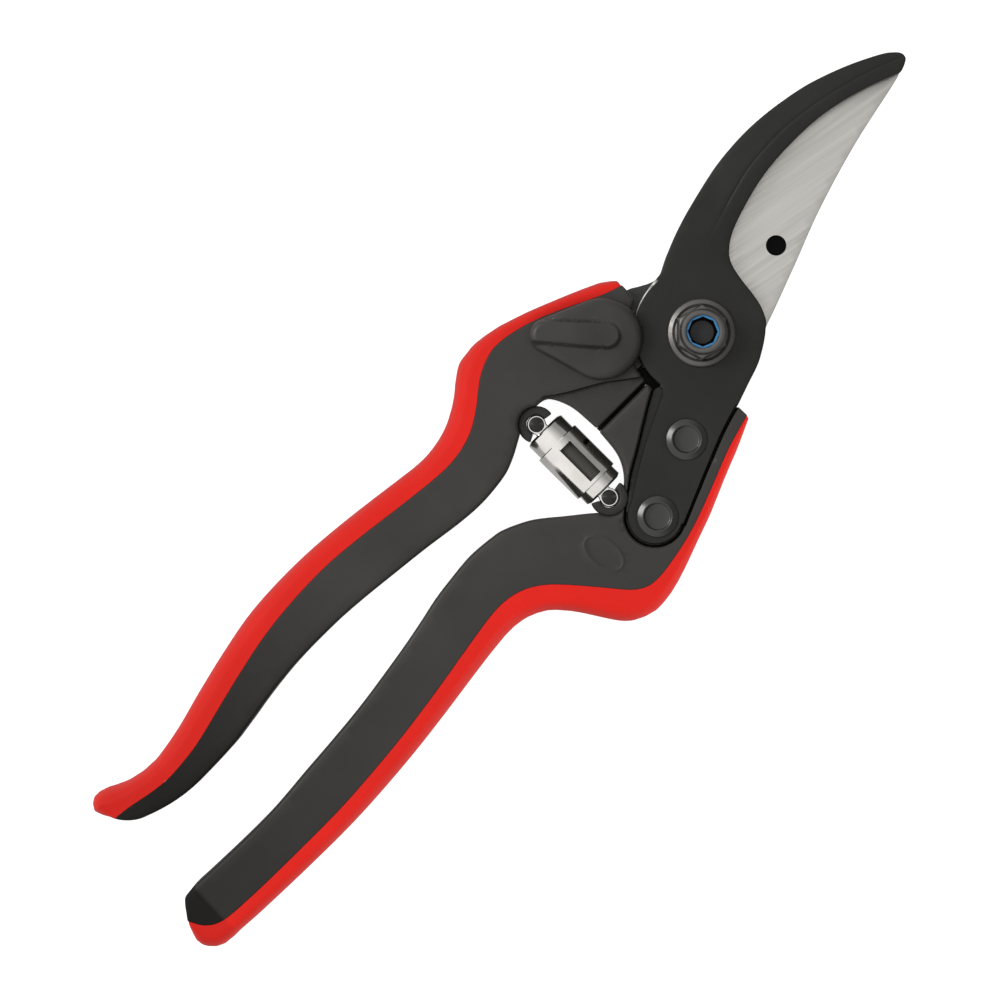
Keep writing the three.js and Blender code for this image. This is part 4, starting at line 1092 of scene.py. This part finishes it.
# ---- Thumb catch ----
def thumb_catch():
    """A low dome whose thumb rib drops steeply on one side and runs out gently on the other."""
    outline = drop(CATCH_DISC, 8.15, CATCH_TIP, 3.4)
    start, end = np.array([-21.8, 22.0]), np.array([-13.75, 12.95])
    narrow, wide = 1.95, 2.3  # half the rib's width at its two ends
    length = math.dist(start, end)
    along = (end - start) / length
    high_side = np.array([-along[1], along[0]])

    def top(points, gap):
        s = (points - start) @ along
        n = (points - start) @ high_side
        base = 8.15 + 1.5 * step(n, -2.6, 1.6) - 0.1 * np.maximum(n - 1.0, 0) ** 1.3
        base -= 0.014 * np.maximum(s - length, 0) ** 2
        half = narrow + (wide - narrow) * np.clip(s / length, 0, 1)
        beyond = np.maximum(s - length, 0)
        high = np.hypot(n, beyond) - half
        foot = np.where(n < 0, 1.0 - 0.35 * step(s, 0.6 * length, 1.1 * length), 0.45)
        rib = 1 - step(high, -0.15, foot)
        crest = 9.98 + 0.1 * np.clip(1 - (n / half) ** 2, 0, 1) - 0.25 * step(s, 0.6 * length, length + 2)
        z = base + rib * np.maximum(crest - base, 0)
        groove = np.exp(-((high - 0.25) / 0.3) ** 2) * step(n, 0.0, 1.5)
        z -= 0.27 * groove * (1 - 0.7 * step(s, 0.7 * length, length + 1.5))
        return z - 1.15 * rounded_edge(gap, 1.3)

    def bottom(points, gap):
        return 5.9 + rounded_edge(gap, 0.25)

    rings = (0.04, 0.14, 0.32, 0.58, 0.9, 1.3)
    near = [drop(end, wide + g, start, narrow + g)
            for g in (-0.4, -0.16, 0.12, 0.25, 0.4, 0.6, 0.8, 1.0, 1.25)]
    obj = relief("thumb_catch_body", outline, top, bottom, materials["catch_plastic"], (),
                 [(drop(end, wide, start, narrow), True)], rings=rings, grid=0.5, extra=near)
    place(obj, "catch", "thumb_catch")


# ---- Small flat pieces ----
def plate(name, outline, low, high, look, low_edge, high_edge, **shape):
    """A flat piece with rounded edges."""
    return relief(name, outline, lambda p, gap: high - rounded_edge(gap, high_edge),
                  lambda p, gap: low + rounded_edge(gap, low_edge), materials[look], **shape)


def plate_from(node, body, slot, level, edge=0.2, grid=0.8):
    """A flat piece with the outline of its CAD node at a level."""
    loops = [smoothed(loop, 0.25, 36.0, 0.25) for loop in section(node, level)]
    low, high = [corner.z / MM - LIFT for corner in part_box(node)]
    obj = plate(node + "_body", loops[0], low, high, slot, edge, edge, holes=loops[1:],
                rings=(0.03, 0.1, 0.2), grid=grid)
    place(obj, body, node)


# ---- Spring cartridge ----
WINDOW_SIDE = 0.6  # the windows stand to the +X side of the tubes' front
KNUCKLE_Y = 10.3  # the cartridge's two pivots stand this far from the X axis
# The four walls round a cell of a tube: the neighbour that has to be open, then the corners of the wall, each
# as its side (0 outer, 1 inner), row and column.
CELL_WALLS = (((-1, 0), ((0, 0, 0), (1, 0, 0), (1, 0, 1), (0, 0, 1))),
              ((1, 0), ((0, 1, 0), (0, 1, 1), (1, 1, 1), (1, 1, 0))),
              ((0, -1), ((0, 0, 0), (0, 1, 0), (1, 1, 0), (1, 0, 0))),
              ((0, 1), ((0, 0, 1), (1, 0, 1), (1, 1, 1), (0, 1, 1))))


def tube(name, inner, outer, low, high, window=None):
    """A thin open tube along Y with rounded ends. A window in its front is given by its width and ends."""
    segments = 96
    turn = math.asin(WINDOW_SIDE / outer)
    heights = {low, high} | set(np.linspace(low + 0.15, high - 0.15, 10))
    a = np.linspace(0, 2 * np.pi, segments, endpoint=False)
    if window:
        width, start, end = window
        heights |= {start, end} | set(np.linspace(start + 0.25, end - 0.25, 8))
        half = math.asin(width / 2 / outer)
        for side in (half, 2 * np.pi - half):
            a[np.argmin(np.abs(np.arctan2(np.sin(a - side), np.cos(a - side))))] = side
    heights = sorted(heights)
    rows = len(heights)
    vertices = []
    for radius, inward in ((outer, 1), (inner, -1)):
        for i, h in enumerate(heights):
            r = radius - (0.12 * inward if i in (0, rows - 1) else 0)
            vertices += [(r * math.sin(t + turn) + TUBE_X, h, r * math.cos(t + turn)) for t in a]

    def is_open(i, k):
        """Whether a cell is past an end of the tube or in its window."""
        if i < 0 or i > rows - 2:
            return True
        if not window:
            return False
        t0, t1 = a[k % segments], a[(k + 1) % segments]
        middle = math.atan2(math.sin(t0) + math.sin(t1), math.cos(t0) + math.cos(t1))
        return start < (heights[i] + heights[i + 1]) / 2 < end and abs(middle) < half

    at = lambda side, i, k: (side * rows + i) * segments + k % segments
    faces = []
    for i, k in np.ndindex(rows - 1, segments):
        if is_open(i, k):
            continue
        faces.append((at(0, i, k), at(0, i, k + 1), at(0, i + 1, k + 1), at(0, i + 1, k)))
        faces.append((at(1, i, k), at(1, i + 1, k), at(1, i + 1, k + 1), at(1, i, k + 1)))
        for (up, along), corners in CELL_WALLS:
            if is_open(i + up, k + along):
                faces.append(tuple(at(side, i + di, k + dk) for side, di, dk in corners))
    return new_object(name, *tidied(vertices, faces), materials["nickel"], 35.0)


def spring_cartridge():
    place(tube("spring_sleeve_body", 4.75, 5.1, -6.2, 4.9, (2.9, -5.4, 3.6)), "cartridge_sleeve",
          "spring_sleeve")
    place(tube("spring_cup_lower_body", 4.05, 4.5, -8.3, 3.9, (3.5, -5.7, 3.3)), "cartridge_lower",
          "spring_cup_lower")
    place(tube("spring_cup_upper_body", 4.05, 4.5, 4.0, 8.3), "cartridge_upper", "spring_cup_upper")
    for side, name in ((-1, "lower"), (1, "upper")):
        disc = rounded_profile([(0, 8.6), (3.9, 8.6, 0.4), (4.49, 8.1, 0.3), (4.49, 7.6), (0, 7.6)], 0.2)
        disc = [(radius, side * height) for radius, height in disc]
        cap = revolve("spring_cap_" + name, disc[::-side], materials["nickel"], (TUBE_X, 0, 0), "Y")
        place(cap, "cartridge_" + name)
        plate_from("spring_foot_" + name, "cartridge_" + name, "nickel", 0.0, 0.3, grid=0.6)
    # The plunger's look is black plastic lightened as painted light against the shade in the tube.
    turned("spring_plunger", "cartridge_upper", "black_plastic", "plunger_lightened_plastic",
           ring_profile(3.1, 3.6, -6.6, 7.4), (TUBE_X, 0, 0), axis="Y", closed=True)


def return_spring():
    """A compression coil with closed end turns, stretched between the two cups."""
    coils, steps, sides, wire, radius = 7.0, 36, 12, 0.45, 2.4
    total = int(coils * steps)
    low, high = -6.85, 6.85
    vertices = []
    for i in range(total + 1):
        t = i / total
        angle = 2 * math.pi * coils * t
        ends = 0.5 - 0.5 * math.cos(math.pi * min(1, max(0, (t - 0.06) / 0.88)))
        height = low + (high - low) * (0.35 * ends + 0.65 * t)
        out = np.array([math.cos(angle), 0, math.sin(angle)])
        centre = radius * out + np.array([TUBE_X, height, 0])
        for b in [2 * math.pi * k / sides for k in range(sides)]:
            vertices.append(centre + wire * (math.cos(b) * out + math.sin(b) * np.array([0, 1, 0])))
    rows = even_rows(total + 1, sides)
    faces = ring_faces(rows) + [tuple(rows[0])[::-1], tuple(rows[-1])]
    obj = new_object("return_spring_body", vertices, faces, materials["spring_wire"], 60.0)
    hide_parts("return_spring")
    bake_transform(obj)


def spring_seat(name, side):
    """A C-shaped socket round the knuckle, open to the cartridge. Its lip on the +X side is the shorter one,
    which leaves the cartridge room to swing."""
    centre = (SPRING_X, side * KNUCKLE_Y)
    inner, outer, wrap = 2.03, 3.72, 215
    start = -9 if side > 0 else 154
    ring = np.concatenate([arc(centre, outer, start, start + wrap), arc(centre, inner, start + wrap, start)])
    outline = smoothed(ring, 0.3, 50.0, 0.25)
    obj = plate(name + "_spring_seat_body", outline, -3.4, 3.9, "seat_plastic", 0.2, 0.3,
                rings=(0.03, 0.12, 0.3), grid=0.6)
    place(obj, name, name + "_spring_seat")


def stop_gap_shade():
    """A thin black sheet at the back of the lower handle's stop face, and round the end of both handles' faces:
    painted shade that keeps the floor from showing through the gaps there.
    """
    low, high = 0.4, 1.2
    inner, outer, start, end = 12.3, 14.66, 157.0, 207.0
    meet = [180 - math.degrees(math.asin(y / outer)) for y in (low, high)]
    outline = np.concatenate([[(-28.0, low), (-21.0, low)], arc((0, 0), outer, meet[0], end),
                              arc((0, 0), inner, end, start), arc((0, 0), outer, start, meet[1]),
                              [(-21.0, high), (-28.0, high)]])
    obj = plate("stop_gap_shade_body", outline, -4.7, -3.85, "black_plastic", 0.1, 0.1, rings=(0.05,),
                grid=0.8)
    place(obj, "lower")


def small_parts():
    for side, name in ((-1, "lower"), (1, "upper")):
        spring_seat(name, side)
    # Painted shade: a black sheet behind the gap between the stop faces.
    stop_gap_shade()
    for side, name in ((-1, "lower"), (1, "upper")):
        profile = rounded_profile([(0, -4.2), (0.8, -4.2), (0.8, 2.9, 0), (1.5, 2.9), (1.5, 3.35), (0, 3.55)],
                                  0.15)
        turned(name + "_seat_pin", name, "black_steel", "black_steel", profile,
               (SPRING_X, side * KNUCKLE_Y, 0), segments=32)
    plate_from("catch_pawl", "catch", "bare_steel", 2.5)
    turned("catch_pin", "catch", "bare_steel", "bare_steel",
           rounded_profile([(0, 0.5), (1.5, 0.5), (1.5, 6.8), (0, 6.8)], 0.2), (*CATCH_PIVOT, 0), segments=48)
    turned("catch_spring_washer", "upper", "spring_wire", "spring_wire",
           ring_profile(1.8, 4.2, 4.2, 5.2, 0.2), (*CATCH_PIVOT, 0), name="catch_washer_body", closed=True)


lower_handle()
upper_handle()
grip("lower")
grip("upper")
counter_blade()
cutting_blade()
for where, place_mm in zip(("front", "rear"), RIVETS):
    counter_rivet("counter_blade_rivet_" + where, place_mm)
for where, place_mm in zip(("front", "rear"), BLIND_RIVETS):
    blind_rivet("cutting_blade_rivet_" + where, place_mm)
pivot_nut()
pivot_rings()
pivot_bolt()
thumb_catch()
spring_cartridge()
return_spring()
small_parts()


# ---- Studio ----
CENTRE = (-52.04, 4.81)  # what the camera looks straight down on
UP, RIGHT = Vector((1, 1, 0)).normalized(), Vector((1, -1, 0)).normalized()  # the camera's, in the row frame
CAMERA_HEIGHT, FIELD, SENSOR = 800.0, 200.0, 36.0
FRONT = 4.0  # the height that the camera's distance is measured from
FLOOR_HALF, FLOOR_GAP = 1600.0, 0.3
FLOOR_SEEN, FLOOR_GLOW = 0.95, 0.35  # the floor's own light, to the camera and to the object
SKY_LEFT, SKY_RIGHT = 1.0, 0.33


def area_light(name, right, up, height, size, power):
    """A light given by its place from the middle of the object, in millimetres along the camera's axes."""
    light = bpy.data.lights.new(name, "AREA")
    light.shape, light.size, light.size_y = "RECTANGLE", *size
    light.energy = power
    obj = bpy.data.objects.new(name, light)
    bpy.context.scene.collection.objects.link(obj)
    away = right * RIGHT + up * UP + Vector((0, 0, height))
    obj.location = (Vector((*CENTRE, 0)) + away) * MM
    obj.rotation_euler = (-away).to_track_quat("-Z", "Y").to_euler()
    return obj


def light_only(light, names):
    """Keeps a light to the named objects."""
    lit = bpy.data.collections.new(light.name + "_lit")
    for name in names:
        lit.objects.link(bpy.data.objects[name])
    light.light_linking.receiver_collection = lit


def lay_floor():
    """A plain pale floor under the plane that the tool rests on."""
    z = cad_box[0][2] / MM - LIFT - FLOOR_GAP
    floor = Nodes("floor", (0.3, 0.3, 0.3), 0.8)
    floor.shader.inputs["Emission Color"].default_value = (1, 1, 1, 1)
    seen = floor.node("ShaderNodeLightPath").outputs["Is Camera Ray"]
    floor.feed("Emission Strength", floor.ramp(seen, FLOOR_GLOW, FLOOR_SEEN, 0.0, 1.0))
    vertices = [(CENTRE[0] + x * FLOOR_HALF, CENTRE[1] + y * FLOOR_HALF, z)
                for x, y in ((-1, -1), (1, -1), (1, 1), (-1, 1))]
    new_object("floor", vertices, [(0, 1, 2, 3)], floor.material)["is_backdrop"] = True


def light_sky():
    """Soft light from all round that is brightest on the camera's left and dimmer on its right."""
    world = bpy.data.worlds.new("studio")
    bpy.context.scene.world = world
    world.use_nodes = True
    tree = world.node_tree
    back = tree.nodes["Background"]
    back.inputs["Color"].default_value = (1, 1, 1, 1)
    side = tree.nodes.new("ShaderNodeVectorMath")
    side.operation = "DOT_PRODUCT"
    side.inputs[1].default_value = RIGHT
    tree.links.new(tree.nodes.new("ShaderNodeTexCoord").outputs["Generated"], side.inputs[0])
    level = tree.nodes.new("ShaderNodeMapRange")
    for name, value in (("From Min", 0.0), ("From Max", 0.55), ("To Min", SKY_LEFT), ("To Max", SKY_RIGHT)):
        level.inputs[name].default_value = value
    tree.links.new(side.outputs["Value"], level.inputs["Value"])
    tree.links.new(level.outputs["Result"], back.inputs["Strength"])


def set_camera():
    camera = bpy.data.cameras.new("camera")
    camera.sensor_width = SENSOR
    camera.lens = SENSOR * CAMERA_HEIGHT / FIELD
    camera.clip_end = 20
    obj = bpy.data.objects.new("camera", camera)
    bpy.context.scene.collection.objects.link(obj)
    turn = Matrix((RIGHT, UP, Vector((0, 0, 1)))).transposed().to_4x4()
    obj.matrix_world = Matrix.Translation(Vector((*CENTRE, CAMERA_HEIGHT + LIFT + FRONT)) * MM) @ turn
    bpy.context.scene.camera = obj
    bpy.context.scene.view_settings.view_transform = "Standard"


lay_floor()
light_sky()
area_light("key", -420, 190, 520, (0.28, 0.28), 2.5)
fill = area_light("fill", 480, -120, 90, (0.5, 0.3), 2.9)
light_only(fill, ("lower_grip_body", "upper_grip_body"))
set_camera()

plain = lambda box: [[float(c) for c in corner] for corner in box]
{"cad": plain(cad_box), "visual": plain(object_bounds())}
